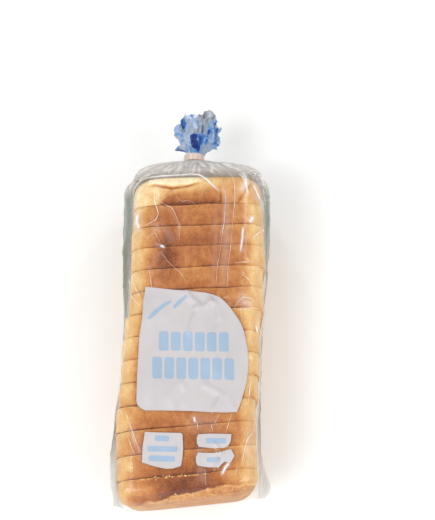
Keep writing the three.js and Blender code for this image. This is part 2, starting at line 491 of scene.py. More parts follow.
def tape_material(ink):
    desk = NodeDesk("neck_tape_finish")
    folds = desk.noise(500, 3, 0.6, (1, 0.12, 1))
    shade = tuple(c * 0.72 for c in ink.tape_colour[:3])
    colour = desk.blend(desk.spread(folds, 0.35, 0.65), (*shade, 1), (*ink.tape_colour[:3], 1))
    normal = desk.bump(folds, 0.0006, 0.6)
    roughness = desk.spread(folds, 0.3, 0.7, 0.32, 0.5)
    return desk.finish(desk.principled(colour, roughness, normal))


def floor_material(stage):
    desk = NodeDesk("pale_floor")
    grain = desk.noise(40, 3, 0.5)
    tone = tuple(c * 0.985 for c in stage.floor_colour[:3])
    colour = desk.blend(desk.spread(grain, 0.3, 0.7), (*tone, 1), (*stage.floor_colour[:3], 1))
    return desk.finish(desk.principled(colour, 0.8, Specular_IOR_Level=0.1))


def made(name, maker, *settings):
    """The material of that name, made the first time it's wanted."""
    return bpy.data.materials.get(name) or maker(*settings)


# The slices

# How much wider than the loaf's tin each slice has spread on either side, from the bottom heel up
PIECE_SPREAD = [0, 0.3, 0.7, 0.9, 1.1, 1.2, 1.1, 0.8, 0.9, 0.5, 1.3, 1.1, 0.4, 0]
# The lip of crust that folds over on the top heel, and then every fold and crease in that crust: its line
# in the picture, half width, depth and how much darker it is; the darkening is painted shade in the fold
LIP = [(149, 185), (155, 183.8), (162, 185.4), (170, 186.6), (178, 186.3), (188, 185.2), (198, 182.4)]
HEEL_FOLDS = [
    (LIP, 1.2, 2.2, 0.42),
    ([(158.5, 201), (161, 196.5), (166, 192), (171, 189), (176, 187)], 2.2, 2.2, 0.16),
    ([(220.6, 191), (221, 197), (220.6, 204)], 0.7, 1.1, 0.25),
    ([(238, 202), (242, 195), (247, 188), (252, 181)], 1.4, 1.3, 0.22),
]
# The upper edge of the browner pillow of crust under the fold
PILLOW = [
    (157, 204), (160, 198.5), (166, 192.5), (172, 189.3), (180, 187.5), (190, 186.5), (200, 184),
    (212, 182), (222, 183),
]  # fmt: skip
# Where the top crust of the bottom heel tears away to the pale crust of the loaf's end
TORN_EDGE = [
    (128, 509), (146, 502), (160, 500.4), (175, 495.3), (186, 494), (205, 489.5), (231, 484.4),
    (264, 483.5),
]  # fmt: skip
# Patches of the top crust: middle in the picture, half width, half length and how much darker they are
CRUST_PATCHES_AND_SHEEN = [
    ((166, 250), 8, 24, 0.26),
    ((190, 216), 30, 8, -0.05),
    ((205, 240), 16, 10, 0.1),
    ((195, 470), 34, 9, 0.14),
    ((180, 487), 22, 9, 0.2),
    # This lighter patch on the bottom heel is a painted reflection of the film.
    ((240, 474), 14, 7, -0.18),
    ((150, 494), 12, 8, -0.16),
]
# Where two slices stand apart: the place in the picture, how far along the cut and how wide
OPEN_CUTS = [
    ((123, 381), 2.6, 1.5),
    ((247.4, 393), 2.8, 1.5),
    ((200, 205), 26, 0.5),
    ((125, 292), 5, 0.5),
    ((232, 330), 9, 0.4),
]
# The names of the two heels: every piece between them is a numbered slice
HEEL_NAMES = {0: "heel_bottom", LAST: "heel_top"}
# The grids: columns round a piece, how much closer they are over its top face, and the steps along it
HEEL_COLUMNS = 400
SLICE_COLUMNS = 220
HEEL_TOP_WEIGHT = 2.4
SLICE_TOP_WEIGHT = 1.8
HEEL_ROW_STEP = 0.6
SLICE_ROW_STEP = 1.25
# The heights between which the crust turns from the sides' into the browned top's
TOP_FACE = (74, 92)
CUT_ROUND = 0.45
TOP_HEEL_ROUND = 11.0
# How far the top heel stands out past the loaf's even length
TOP_HEEL_BULGE = 1.2
# How brown a cut face is
CUT_BROWNING = 0.1
# Least height of the slices over the floor
SLICE_LIFT = 0.45


def section(angle, inset, grow=0.0):
    """The loaf's rounded square section, as X and height."""
    a = HALF_WIDTH + grow
    b = HALF_HEIGHT + grow
    c = np.cos(angle)
    s = np.sin(angle)
    reach = (np.abs(c / a) ** CORNER_POWER + np.abs(s / b) ** CORNER_POWER) ** (-1 / CORNER_POWER)
    share = 1 - inset / HALF_WIDTH
    return reach * c * share, reach * s * share


def column_angles(columns, top_weight):
    """Angles round the section, closer together over the top face."""
    angle = np.linspace(-math.pi / 2, 1.5 * math.pi, 4001)
    x, z = section(angle, 0)
    step = np.hypot(np.diff(x), np.diff(z))
    weight = np.where(z[:-1] > 0.72 * HALF_HEIGHT, top_weight, 1.0)
    run = np.concatenate([[0], np.cumsum(step * weight)])
    return np.interp(np.linspace(0, run[-1], columns + 1), run, angle)


# How far in from the crust the rows of points on a cut face are
FACE_STEPS = (36.0, 22.0, 12.0, 7.5, 4.5, 2.6)
HEEL_FACE_STEPS = (
    47.0, 43.5, 40.0, 36.5, 33.0, 29.5, 26.5, 23.5, 20.5, 18.0, 15.5, 13.8, 12.0, 9.5, 7.5, 4.5, 2.6,
)  # fmt: skip


def slice_profile(low, high, round_low, round_high):
    """Steps from one face's middle over the crust to the other's, as inset and place along Y."""
    is_heel = max(round_low, round_high) > CUT_ROUND
    faces = HEEL_FACE_STEPS if is_heel else FACE_STEPS
    steps = [(HALF_WIDTH, low)] + [(d, low) for d in faces if d > round_low + 0.5]
    for turn in np.linspace(0, math.pi / 2, max(5, int(round_low * 3))):
        steps.append((round_low * (1 - math.sin(turn)), low + round_low * (1 - math.cos(turn))))
    start = low + round_low
    stop = high - round_high
    count = max(4, int((stop - start) / (HEEL_ROW_STEP if is_heel else SLICE_ROW_STEP)))
    steps += [(0.0, start + (stop - start) * i / count) for i in range(1, count)]
    for turn in np.linspace(math.pi / 2, 0, max(5, int(round_high * 3))):
        steps.append((round_high * (1 - math.sin(turn)), high - round_high * (1 - math.cos(turn))))
    steps += [(d, high) for d in reversed(faces) if d > round_high + 0.5] + [(HALF_WIDTH, high)]
    return np.array(steps)


def browning_at(x, y, z, k):
    """How brown the crust is, from 0 for crumb to 1 for the darkest brown: mostly its baking, with some
    painted shade and a painted reflection.
    """
    across = np.abs(x - PIECE_SHIFT[k])
    on_right = x > PIECE_SHIFT[k]
    wobble = 3.2 * noise_at(x * 0 + np.sign(x) * 30, y, z * 0, 13, 5) + 1.6 * noise_at(x, y, z, 5, 6)
    band = np.where(on_right, smooth(35, 43.5, across + wobble), smooth(34.5, 46, across + wobble))
    top = smooth(*TOP_FACE, z)
    under = 1 - smooth(4, 18, z)
    on_top = 0.715 - 0.1 * smooth(10, 38, np.abs(across - 4)) - (0.37 - 0.02 * (x > 0)) * band
    # Painted shade: the side bands are darker towards the bottom end, to even out the key lamp's light there.
    on_top = on_top + 0.07 * band * (1 - smooth(-90, 0, y))
    on_side = 0.3 + 0.07 * noise_at(x, y, z, 18, 2)
    level = on_side + (on_top - on_side) * top
    level = level + (0.55 - level) * under
    for (px, py), wide, long, amount in CRUST_PATCHES_AND_SHEEN:
        cx, cy = seen_at(px, py)
        patch = np.exp(-(((x - cx) / wide) ** 2) - ((y - cy) / long) ** 2)
        level = level + amount * top * patch * (1 - band)
    level = level + 0.06 * noise_at(x, y, z, 22, 1) + 0.04 * noise_at(x, y, z, 7, 3)
    level = level + 0.05 * math.sin(3.1 * k + 0.7) * top
    return level


class Piece:
    """One heel or slice: its number from the bottom end, its two faces along Y and its points."""

    def __init__(self, k, gap):
        self.k = k
        self.low = cut_place(k) + (gap / 2 if k > 0 else 0)
        self.high = cut_place(k + 1) - (gap / 2 if k < LAST else -TOP_HEEL_BULGE)
        self.middle = (self.low + self.high) / 2
        self.length = self.high - self.low
        self.mesh = self.even_grid()
        self.x, self.y, self.z = mesh_points(self.mesh).T.copy()
        self.look_round()

    def even_grid(self):
        """The piece as a plain rounded block."""
        is_heel = self.k in HEEL_NAMES
        round_low = END_ROUND if self.k == 0 else CUT_ROUND
        round_high = TOP_HEEL_ROUND if self.k == LAST else CUT_ROUND
        profile = slice_profile(self.low, self.high, round_low, round_high)
        rows = len(profile) - 1
        columns = HEEL_COLUMNS if is_heel else SLICE_COLUMNS
        angles = column_angles(columns, HEEL_TOP_WEIGHT if is_heel else SLICE_TOP_WEIGHT)

        def place(u, v):
            angle = np.interp(u, np.linspace(0, 1, columns + 1), angles)
            step = v * rows
            inset = np.interp(step, np.arange(rows + 1), profile[:, 0])
            y = np.interp(step, np.arange(rows + 1), profile[:, 1])
            x, h = section(angle, inset)
            if self.k == LAST:
                domed = np.where(y > self.middle, inset * 0.35 + inset**2 * 0.0129, inset)
                h = np.where(h > 0, section(angle, domed)[1], h)
            return x, y, h + HALF_HEIGHT

        return wrapped_grid(HEEL_NAMES.get(self.k, f"slice_{self.k:02d}"), columns, rows, place)

    def look_round(self):
        """Notes which points are crust, which are on a cut face and how far up the piece they are."""
        x, y, z = self.x, self.y, self.z
        rim = np.maximum(np.abs(x) / HALF_WIDTH, np.abs(z - HALF_HEIGHT) / HALF_HEIGHT)
        self.on_crust = smooth(0.93, 0.985, rim)
        across = np.abs(x / HALF_WIDTH) ** CORNER_POWER
        upward = np.abs(z / HALF_HEIGHT - 1) ** CORNER_POWER
        out = (across + upward) ** (1 / CORNER_POWER)
        self.cut_face = smooth(0.9, 2.4, (1 - out) * HALF_WIDTH)
        self.cut_side = np.sign(y - self.middle)
        self.is_cut = np.where(self.cut_side > 0, self.k < LAST, self.k > 0)
        self.share_in = (y - self.low) / self.length

    def swell(self):
        """Bulges the crust unevenly, a little less towards the cuts."""
        x, y, z = self.x, self.y, self.z
        swell = 0.45 * noise_at(x, y, z, 26, 11) + 0.16 * noise_at(x, y, z, 7, 12)
        swell = swell - 0.12 * np.abs((y - self.middle) / self.length) * 2
        risen = swell + 0.3 * math.sin(12.9 * self.k + 4.1)
        self.x = x + self.on_crust * swell * np.sign(x) * smooth(0.8, 1, np.abs(x) / HALF_WIDTH)
        self.z = z + self.on_crust * risen * smooth(0.8, 1, (z - HALF_HEIGHT) / HALF_HEIGHT)

    def tear_cuts(self):
        """Makes the cuts' edges ragged, and pulls them back where two slices stand apart."""
        x, y, z = self.x, self.y, self.z
        edge = smooth(0.5, 1, np.abs(y - self.middle) / self.length * 2) * self.is_cut
        side_seed = y * 0 + self.k * 40 + self.cut_side * 9
        ragged = 0.18 * noise_at(x, side_seed, z, 2.4, 13) + 0.22 * noise_at(x, side_seed, z, 8, 15)
        ragged = self.cut_side * np.minimum(0, self.cut_side * ragged)
        pulled = (0.1 if self.k < 5 else 0.2) * np.maximum(0, noise_at(x, side_seed, z, 24, 14))
        for (px, py), reach, wide in OPEN_CUTS:
            cx, cy = seen_at(px, py)
            near = bell(x + PIECE_SHIFT[self.k] - cx, reach) * smooth(60, 80, z)
            cut_y = np.where(self.cut_side > 0, self.high, self.low) + cx * np.tan(yaw_at(self.middle))
            pulled = pulled + wide / 2 * near * (np.abs(cut_y - cy) < 4)
        self.y = y + self.on_crust * edge * (ragged - self.cut_side * pulled)

    def lay_down(self):
        """Spreads, shifts, leans, presses and turns the piece as it lies in the bag."""
        k = self.k
        nowhere = self.x * 0
        x = self.x * (1 + PIECE_SPREAD[k] / HALF_WIDTH) + PIECE_SHIFT[k]
        y = self.y
        y = y + 0.8 * noise_at(x, nowhere + 31 * k, nowhere, 24, 45) * (1 - self.share_in) * (k > 0)
        y = y + 0.8 * noise_at(x, nowhere + 31 * (k + 1), nowhere, 24, 45) * self.share_in * (k < LAST)
        lean = math.radians(0.2 * math.sin(7.7 * k + 1.2))
        y = y + (self.z - HALF_HEIGHT) * math.tan(lean)
        z = self.z
        if k == LAST:
            for path, wide, deep, _ in HEEL_FOLDS:
                far, along = distance_to_path(x, y + x * math.tan(YAW_TOP), on_loaf(path))
                reach = smooth(-0.02, 0.25, along) * (1 - smooth(0.75, 1.02, along))
                z = z - deep * (0.25 + 0.75 * reach) * bell(far, wide) * smooth(60, 90, z)
        self.z = pressed(z + FILM_LIFT * 0.6) + SLICE_LIFT
        self.x = x
        self.y = y + x * np.tan(yaw_at(self.middle) + math.radians(0.2 * math.sin(5.3 * k + 2.2)))

    def bake(self):
        """How brown each point is, with painted light and shade along the cuts and folds. The heels' folds
        and torn crust also move their points.
        """
        x, y, z = self.x, self.y, self.z
        k, share_in, is_cut = self.k, self.share_in, self.is_cut
        top = smooth(*TOP_FACE, z)
        level = browning_at(x, y, z, k)
        # Painted light and shade: each slice's top is darker towards its lower cut and lighter towards its
        # upper cut, and its upper edge gets a painted highlight.
        level = level + 0.09 * (0.5 - share_in) * top
        painted_rim_highlight = smooth(0.93, 1.0, share_in) if k < LAST else 0
        # Painted shade in the cut valleys: darker along each slice's lower cut, and a little darker along
        # both cuts.
        uneven = 0.7 + 0.6 * noise_at(x, y, z, 9, 28)
        level = level + 0.14 * (1 - smooth(0.0, 0.06, share_in)) * (k > 0) * uneven
        level = level + 0.1 * smooth(0.92, 1, np.abs(share_in - 0.5) * 2) * is_cut
        level = level - 0.2 * painted_rim_highlight * (0.6 + 0.8 * noise_at(x, y, z, 4, 24)) * self.on_crust
        if k == LAST:
            level = self.bake_top_heel(level, top)
        if k == 0:
            level = self.bake_bottom_heel(level, top)
        to_crumb = (CUT_BROWNING - level) * self.cut_face
        return np.where(is_cut, level + to_crumb, level + CUT_BROWNING * self.cut_face * (k == 0))

    def bake_top_heel(self, level, top):
        """The browner pillow, the folded lip with a painted highlight, the painted shade under it, and the
        creases painted darker as shade.
        """
        x, y, z, share_in = self.x, self.y, self.z, self.share_in
        right_of = smooth(18.5, 22, x)
        inner = smooth(-1.0, 6.5, line_at(PILLOW, x) - y) * (1 - right_of)
        risen = 0.14 + 0.5 * np.clip(1 - share_in, 0, 1) ** 1.4
        baked = 0.23 - 0.08 * (1 - smooth(-38, -28, x)) + inner * risen
        baked = baked + right_of * (0.1 + 0.3 * (1 - share_in)) * (1 - 0.6 * smooth(31, 40, x))
        level = level + (baked + 0.07 * noise_at(x, y, z, 9, 23) - level) * top
        lip = smooth(0.2, 1.4, y - line_at(LIP, x)) * smooth(-38, -30, x) * (1 - smooth(2, 10, x))
        # The lip is painted paler: a painted highlight on its rounded roll.
        level = level - 0.2 * lip * top
        z = z + 0.9 * lip * top
        # Painted shade along the heel's lower cut, below the lip.
        under_lip = np.exp(-np.maximum(0, y - self.low) / 1.6)
        shade = under_lip * smooth(-26, -18, x) * (1 - smooth(14, 22, x))
        level = level + 0.22 * shade * top
        # Every fold and crease is painted darker: painted shade in the fold.
        for path, _, _, dark in HEEL_FOLDS:
            far, along = distance_to_path(x, y, on_loaf(path))
            thin = 0.62 + 0.3 * noise_at(x, y, z, 5, 29)
            reach = smooth(-0.02, 0.2, along) * (1 - smooth(0.8, 1.02, along))
            line = bell(far, thin) + 0.3 * np.exp(-far / 2.0)
            level = level + dark * (0.3 + 0.7 * reach) * line * smooth(60, 90, z)
        self.z = z
        return level

    def bake_bottom_heel(self, level, top):
        """The edge where the top crust tears away, a painted shadow line just above it, and the pale, crumbly
        crust past it.
        """
        x, y, z = self.x, self.y, self.z
        torn_y = line_at(TORN_EDGE, x)
        torn_y = torn_y + 1.1 * noise_at(x, y * 0, z * 0, 6, 21) + 0.5 * noise_at(x, y * 0, z * 0, 2, 25)
        pale = smooth(-0.4, 0.7, torn_y - y)
        crumbly = noise_at(x, y, z, 2.1, 26) * smooth(70, 86, z)
        level = level + (0.47 + 0.08 * noise_at(x, y, z, 14, 22) + 0.18 * crumbly - level) * pale
        from_left = smooth(-38, -25, x)
        lip = bell(torn_y - y, 0.9) * from_left
        # A painted shadow line in the top crust just above the torn edge.
        above = y - torn_y
        rim = smooth(0.2, 0.9, above) * np.exp(-np.maximum(0, above) / 1.8)
        level = level + 0.2 * rim * from_left * top
        level = level - 0.16 * lip
        self.z = z + top * (0.6 * lip - 0.5 * pale + 0.42 * pale * crumbly)
        fallen = smooth(0.9, 0.97, self.share_in) * smooth(-42, -30, x) * (1 - smooth(4, 20, x))
        crumbs = smooth(-0.2, 0.3, noise_at(x, y, self.z, 3, 27))
        return level - 0.4 * fallen * crumbs * top

    def bare_cuts(self):
        """Gives the faces inside the crust's ring the crumb's material, but for the loaf's own ends."""
        for polygon in self.mesh.polygons:
            facing = polygon.normal.y
            outer_end = (self.k == 0 and facing < 0) or (self.k == LAST and facing > 0)
            at = (polygon.center - LOAF_ORIGIN) / MM
            inside = max(abs(at.x - PIECE_SHIFT[self.k]), abs(at.z - MIDDLE_Z)) < HALF_HEIGHT - 3
            polygon.material_index = 1 if abs(facing) > 0.9 and inside and not outer_end else 0


def make_slice(k, loaf, crust, crumb):
    """Makes the heel or slice of that number, counted from the bottom end."""
    piece = Piece(k, loaf.slice_gap / MM)
    piece.swell()
    piece.tear_cuts()
    piece.lay_down()
    level = piece.bake()
    set_points(piece.mesh, np.stack([piece.x, piece.y, piece.z], axis=1))
    put_attribute(piece.mesh, "browning_and_painted_light", level)
    made_piece = add_piece(piece.mesh, crust, crumb)
    piece.bare_cuts()
    return made_piece


# The film

# Creases in the film over the top crust: the line in the picture, height, half width and milkiness, which is
# partly the creased film's whitening and partly painted glints
CREASES = [
    ([(154, 190.5), (154.4, 200.7), (158.6, 213.5), (156, 219.8), (144.5, 225.6)], 1.0, 0.9, 0.75),
    ([(158, 190.5), (160, 202), (172.6, 208.4), (177, 218), (180.3, 225.6), (179, 240)], 0.9, 0.8, 0.5),
    ([(142.6, 232.6), (147, 239), (151, 234.5), (154.7, 232), (160.5, 242.8)], 0.8, 0.7, 0.5),
    ([(160.8, 245.8), (164, 247)], 0.8, 1.3, 0.95),
    ([(162.4, 254), (168.8, 262.6), (181.5, 274), (186, 282)], 0.6, 0.6, 0.3),
    ([(176, 197), (182, 202), (188, 200), (195, 204)], 0.6, 0.6, 0.4),
    ([(226.4, 168.8), (232, 175.8), (234.6, 184), (235, 197), (234, 210), (232.7, 222)], 1.0, 0.9, 0.75),
    ([(232.7, 222), (230.8, 245), (228.3, 264.5), (227, 287)], 0.8, 0.8, 0.35),
    ([(222.5, 172), (221, 181.6), (225.7, 195.6), (224.4, 222), (222, 235), (220, 251)], 0.9, 0.8, 0.4),
    ([(220, 251), (217.4, 265), (216, 285)], 0.7, 0.8, 0.25),
    ([(243, 227.5), (242.3, 238), (240.4, 251)], 0.9, 1.0, 0.8),
    ([(240, 172), (246, 182), (248, 194)], 0.9, 1.1, 0.6),
    ([(254, 184), (260, 195), (266.5, 196)], 0.9, 1.0, 0.7),
    ([(250, 222), (253, 216)], 0.7, 1.2, 0.8),
    ([(266, 223), (253, 237.6), (260.6, 236)], 0.7, 0.8, 0.8),
    ([(128.6, 260), (126.7, 268), (127.3, 280.5), (128.6, 290.7), (135, 300), (142, 308.6)], 1.0, 0.9, 0.75),
    ([(130, 271), (133, 283), (138.8, 294.5), (143.3, 302)], 0.9, 0.8, 0.7),
    ([(148.4, 265), (150, 275), (152, 290)], 0.7, 0.7, 0.5),
    ([(234.6, 263), (244, 262), (253.8, 261.4)], 0.8, 0.8, 0.5),
    ([(241, 273.5), (248.7, 278.6), (253.8, 287.5)], 0.8, 0.8, 0.5),
    (
        [(234, 310.5), (236, 303.5), (244, 296.5), (254.4, 298.4), (252.5, 301.6), (240.4, 304.7)],
        0.9, 0.7, 0.7,
    ),
    ([(240.4, 306.7), (241, 316), (244, 319)], 0.7, 0.7, 0.5),
    ([(256, 324), (258, 330)], 0.6, 1.1, 0.7),
    ([(194, 417), (195, 422)], 0.6, 1.0, 0.7),
    ([(197, 421), (198, 430)], 0.6, 0.9, 0.5),
    ([(211, 424), (213, 431)], 0.6, 0.9, 0.5),
    ([(219, 414), (215, 423)], 0.6, 0.6, 0.4),
    ([(232, 412.6), (229, 422), (225.7, 432.4)], 0.7, 0.7, 0.45),
    ([(257.6, 426), (247.4, 439), (244, 452), (241, 466)], 0.8, 0.8, 0.5),
    ([(229, 463), (225, 468), (222, 474)], 0.9, 1.3, 0.85),
    ([(237, 467), (235, 476)], 0.6, 0.8, 0.5),
    ([(125, 410), (131, 428), (140, 452)], 0.9, 0.9, 0.55),
    ([(127, 435), (131, 446), (135, 455)], 0.7, 0.7, 0.4),
    ([(205, 468), (205.5, 485)], 0.5, 0.6, 0.3),
    ([(137, 212), (136, 219), (138.5, 227)], 0.6, 1.8, 0.6),
    ([(141, 281), (141.6, 287), (144, 300)], 0.5, 0.7, 0.4),
    ([(241, 336), (249, 330), (252, 344)], 0.5, 0.7, 0.35),
    ([(248, 404), (249.5, 392), (251, 380)], 0.5, 0.9, 0.5),
    ([(212, 178), (206, 187), (201, 196)], 0.6, 0.6, 0.25),
    ([(243, 170), (247, 180)], 0.7, 1.2, 0.6),
    (
        [
            (143, 178), (152, 175.8), (167, 175), (180, 173.6), (192, 172.6), (199, 173.5), (206, 179),
            (219, 191),
        ],
        0.8, 1.0, 0.8,
    ),
    ([(131, 189), (135, 183), (141, 177.5), (150, 173)], 0.8, 0.9, 0.75),
    ([(140, 176), (150, 171.5), (164, 169.5)], 0.8, 0.7, 0.5),
    ([(204.5, 165), (210, 167.5), (217, 176.5)], 0.8, 0.7, 0.5),
]  # fmt: skip
# Broad faint sheens, painted as milky haze: the line in the picture, half width and milkiness
SHEENS = [
    ([(226, 175), (227, 215), (225, 255), (223, 292)], 2.6, 0.1),
    ([(216, 200), (215, 250), (213, 290)], 2.2, 0.05),
    ([(160, 225), (168, 232), (172, 244)], 3.0, 0.06),
    ([(138, 205), (137, 222), (140, 236)], 2.4, 0.2),
    ([(252, 175), (256, 190), (259, 204)], 2.6, 0.22),
    ([(251, 214), (254, 221)], 2.2, 0.22),
    ([(250, 178), (245, 184), (239, 193)], 2.2, 0.34),
    ([(236, 296), (246, 301), (250, 312)], 4.0, 0.16),
    ([(186, 416), (200, 424), (222, 421)], 7.0, 0.06),
    ([(128, 420), (136, 442), (142, 462)], 2.6, 0.08),
    ([(250, 420), (249, 445), (246, 470)], 3.0, 0.12),
    ([(200, 440), (201, 470), (204, 488)], 3.0, 0.06),
]
# Broad soft folds in the film, with no milkiness of their own
SOFT_FOLDS = [
    ([(186, 292), (192, 300), (198, 304)], 1.2, 2.4),
    ([(195, 308), (204, 307), (211, 302)], 1.2, 1.7),
    ([(190, 332), (194, 318), (199, 311)], 1.1, 2.4),
    ([(210, 299), (216, 305), (219, 318)], 1.0, 2.2),
    ([(222, 300), (222, 330), (226, 360), (222, 405)], 0.7, 3.4),
    ([(214, 330), (212, 350), (215, 372)], 0.5, 3.0),
    ([(160, 300), (166, 322), (160, 350)], 0.5, 3.4),
    ([(182, 384), (187, 392), (184, 404)], 0.6, 2.2),
    ([(232, 380), (228, 396), (233, 408)], 0.6, 2.2),
    ([(150, 300), (155, 340), (150, 400)], 0.6, 4.0),
    ([(205, 385), (222, 395), (214, 410)], 0.8, 2.4),
    ([(176, 385), (170, 398), (176, 410)], 0.5, 3.0),
    ([(216, 444), (222, 455), (216, 468)], 0.9, 1.5),
]


def between(stations, share):
    """The value between evenly spaced stations, at a share of their whole length."""
    place = np.clip(share, 0, 1) * (len(stations) - 1)
    before = np.minimum(np.floor(place), len(stations) - 2).astype(int)
    share = smooth(0, 1, place - before)
    table = np.array(stations, dtype=float)
    return table[before] * (1 - share) + table[before + 1] * share


def fold_at(stations, y):
    """How far out a side fold stands at a place along the loaf."""
    return between(stations, 0.5 + y / LOAF_LENGTH)


def shift_envelope(y, side):
    """How far out the slices push the film on one side: it bridges from one to the next."""
    fine = np.linspace(-LOAF_END - 30, LOAF_END + 30, 700)
    k_of = np.clip(np.searchsorted([cut_place(k) for k in range(1, PIECES)], fine), 0, PIECES - 1)
    raw = (np.array(PIECE_SHIFT) * side + PIECE_SPREAD)[k_of]
    reach = 12
    padded = np.pad(raw, reach, mode="edge")
    widest = np.max([padded[i : i + len(raw)] for i in range(2 * reach + 1)], axis=0)
    padded = np.pad(widest, reach, mode="edge")
    eased = np.mean([padded[i : i + len(raw)] for i in range(2 * reach + 1)], axis=0)
    return np.interp(y, fine, eased) * side


def film_section(angle, y, share, reach):
    """The film round the loaf at a place along it, as X and height above the loaf's middle."""
    x, h = section(angle, 0, FILM_LIFT)
    c = np.cos(angle)
    right, left = shift_envelope(y, 1), shift_envelope(y, -1)
    to_side = smooth(0, 0.6, np.abs(c))
    pushed = np.where(c > 0, right, left) * to_side + (right + left) / 2 * (1 - to_side)
    x = (x + pushed) * share
    h = h * share
    side = reach * np.where(c > 0, fold_at(FOLD_RIGHT, y), -fold_at(FOLD_LEFT, y))
    wide = 9.5 + 3 * np.sin(y / 17 + np.sign(c))
    drift = 5 * np.sin(y / 31 + 1.3 * np.sign(c)) * (1 - smooth(60, 100, np.abs(y)))
    on_fold = np.exp(-((np.abs(h - drift) / wide) ** 1.5)) * (np.abs(c) > 0.6)
    return x + (side - x) * on_fold, h


def film_row(v, rows):
    """The kind of row and where it is: the flat end, along the loaf, the shoulders or the neck."""
    end_rows, loaf_rows, shoulder_rows, neck_rows = rows
    step = v * sum(rows)
    end = np.clip(step / end_rows, 0, 1)
    loaf = np.clip((step - end_rows) / loaf_rows, 0, 1)
    shoulder = np.clip((step - end_rows - loaf_rows) / shoulder_rows, 0, 1)
    neck = np.clip((step - end_rows - loaf_rows - shoulder_rows) / neck_rows, 0, 1)
    return end, loaf, shoulder, neck


# The film's grid: faces round it, and rows over the flat end, the loaf, the shoulders and the neck
FILM_COLUMNS = 250
FILM_ROWS = (26, 244, 52, 8)
FILM_TOP_WEIGHT = 2.3


def film_place(u, v):
    """Where a point of the film's even grid goes, from the middle of the flat end to the neck."""
    angles = column_angles(FILM_COLUMNS, FILM_TOP_WEIGHT)
    angle = np.interp(u, np.linspace(0, 1, FILM_COLUMNS + 1), angles)
    end, loaf, shoulder, neck = film_row(v, FILM_ROWS)
    turn = np.clip((end - 0.4) / 0.6, 0, 1) * math.pi / 2
    flat = np.clip(end / 0.4, 0, 1)
    inset = HALF_WIDTH + (END_ROUND - HALF_WIDTH) * flat
    inset = np.where(end > 0.4, END_ROUND * (1 - np.sin(turn)), inset)
    ear = EAR_AT_END + (0.98 - EAR_AT_END) * smooth(0.6, 0.9, -np.cos(angle))
    reach = np.where(end > 0.4, ear + (1 - ear) * np.sin(turn), ear * flat)
    y_end = -LOAF_END - END_GAP
    rise = END_ROUND * (1 - np.cos(turn))
    start = LOAF_END - 3
    y = np.where(loaf > 0, (y_end + END_ROUND) * (1 - loaf) + start * loaf, y_end + rise)
    x, h = film_section(angle, y, 1 - inset / HALF_WIDTH, reach)
    on_end = (1 - smooth(0, END_ROUND, rise)) * (loaf <= 0)
    seam = 0.6 * SEAM_HEIGHT * bell(h, 2.2 * SEAM_HALF_WIDTH) * on_end
    z = pressed(h + MIDDLE_Z)
    yaw = yaw_at(y)
    y = y - seam + LEFT_EAR_TUCK * smooth(45, 57, -x) * (1 - smooth(0, LEFT_EAR_LENGTH, y - y_end))
    # the shoulders
    s = 1 - (1 - shoulder) ** 1.5
    gathers = 0.03 * np.cos(9 * angle + 1.1 * np.sin(2 * angle)) + 0.02 * np.cos(23 * angle + 4 * s)
    pleat = 1 + smooth(0.35, 0.85, s) * gathers
    pleat = 1 + (pleat - 1) * (1 - smooth(0.93, 1, s))
    neck_x = NECK_X + NECK_RADIUS * np.cos(angle)
    neck_z = NECK_Z + NECK_RADIUS * np.sin(angle)
    skew = x * np.tan(yaw) * (1 - s)
    draw_x, draw_z = s**SHOULDER_POWER_X, s**SHOULDER_POWER_Z
    x = x * (1 - draw_x) + neck_x * draw_x
    z = z * (1 - draw_z) + neck_z * draw_z
    x = NECK_X + (x - NECK_X) * pleat
    z = np.where(shoulder > 0, np.maximum(0, NECK_Z + (z - NECK_Z) * pleat), z)
    y = np.where(shoulder > 0, y * (1 - s) + NECK_START * s, y)
    y = y + skew + neck * NECK_LENGTH
    return x, y, z


def crease_marks(x, y, on_top, film):
    """How far the creases and soft folds lift the film, and the haze that they give it: the creased film's
    whitening, painted glints and painted sheens.
    """
    sharp = np.zeros(len(x))
    haze = np.full(len(x), film.haze)
    strength = film.crease_height / MM
    for path, high, half_width, milk in CREASES:
        far, along = distance_to_path(x, y, on_loaf(path))
        fade = smooth(-0.05, 0.12, along) * (1 - smooth(0.85, 1.05, along))
        ridge = bell(far, 1.3 * half_width) * (0.35 + 0.65 * fade)
        sharp = np.maximum(sharp, strength * high * ridge)
        # Wide creases also get milky patches: painted glints.
        if half_width >= 1:
            patch = bell(far, 0.75 * half_width) * (0.3 + 0.7 * fade)
            haze = np.maximum(haze, 0.75 * milk * patch * on_top)
    for path, half_width, milk in SHEENS:
        far, along = distance_to_path(x, y, on_loaf(path))
        fade = smooth(-0.05, 0.3, along) * (1 - smooth(0.7, 1.05, along))
        haze = haze + milk * fade * bell(far, half_width) * on_top
    soft = np.zeros(len(x))
    for path, high, half_width in SOFT_FOLDS:
        far, _ = distance_to_path(x, y, on_loaf(path))
        soft = soft + 1.6 * high * bell(far, half_width)
    return sharp + soft, haze


def gather_shoulders(x, y, z, body):
    """Crumples the shoulders and gives them folds that radiate from the neck."""
    shoulder = smooth(LOAF_END - 6, LOAF_END + 8, y) * body
    crumple = 0.8 * noise_at(x, y, z, 8, 35) + 0.45 * noise_at(x, y, z, 3.2, 36)
    z = z + shoulder * crumple * smooth(3, 12, z)
    y = y + shoulder * 0.6 * noise_at(x, y, z, 6, 37)
    turn = np.arctan2(z - NECK_Z, x - NECK_X)
    ray = noise_at(np.cos(turn) * 60, np.sin(turn) * 60, y * 0.25, 6.5, 42)
    ray = 1 - 2.2 * np.abs(ray)
    toward = smooth(LOAF_END - 2, LOAF_END + 16, y) * (1 - smooth(NECK_START - 4, NECK_START, y))
    x = x + toward * 0.9 * ray * np.cos(turn)
    z = z + toward * 0.9 * ray * np.sin(turn)
    return x, y, z, ray, toward * 0.5 * smooth(0.72, 0.98, ray)


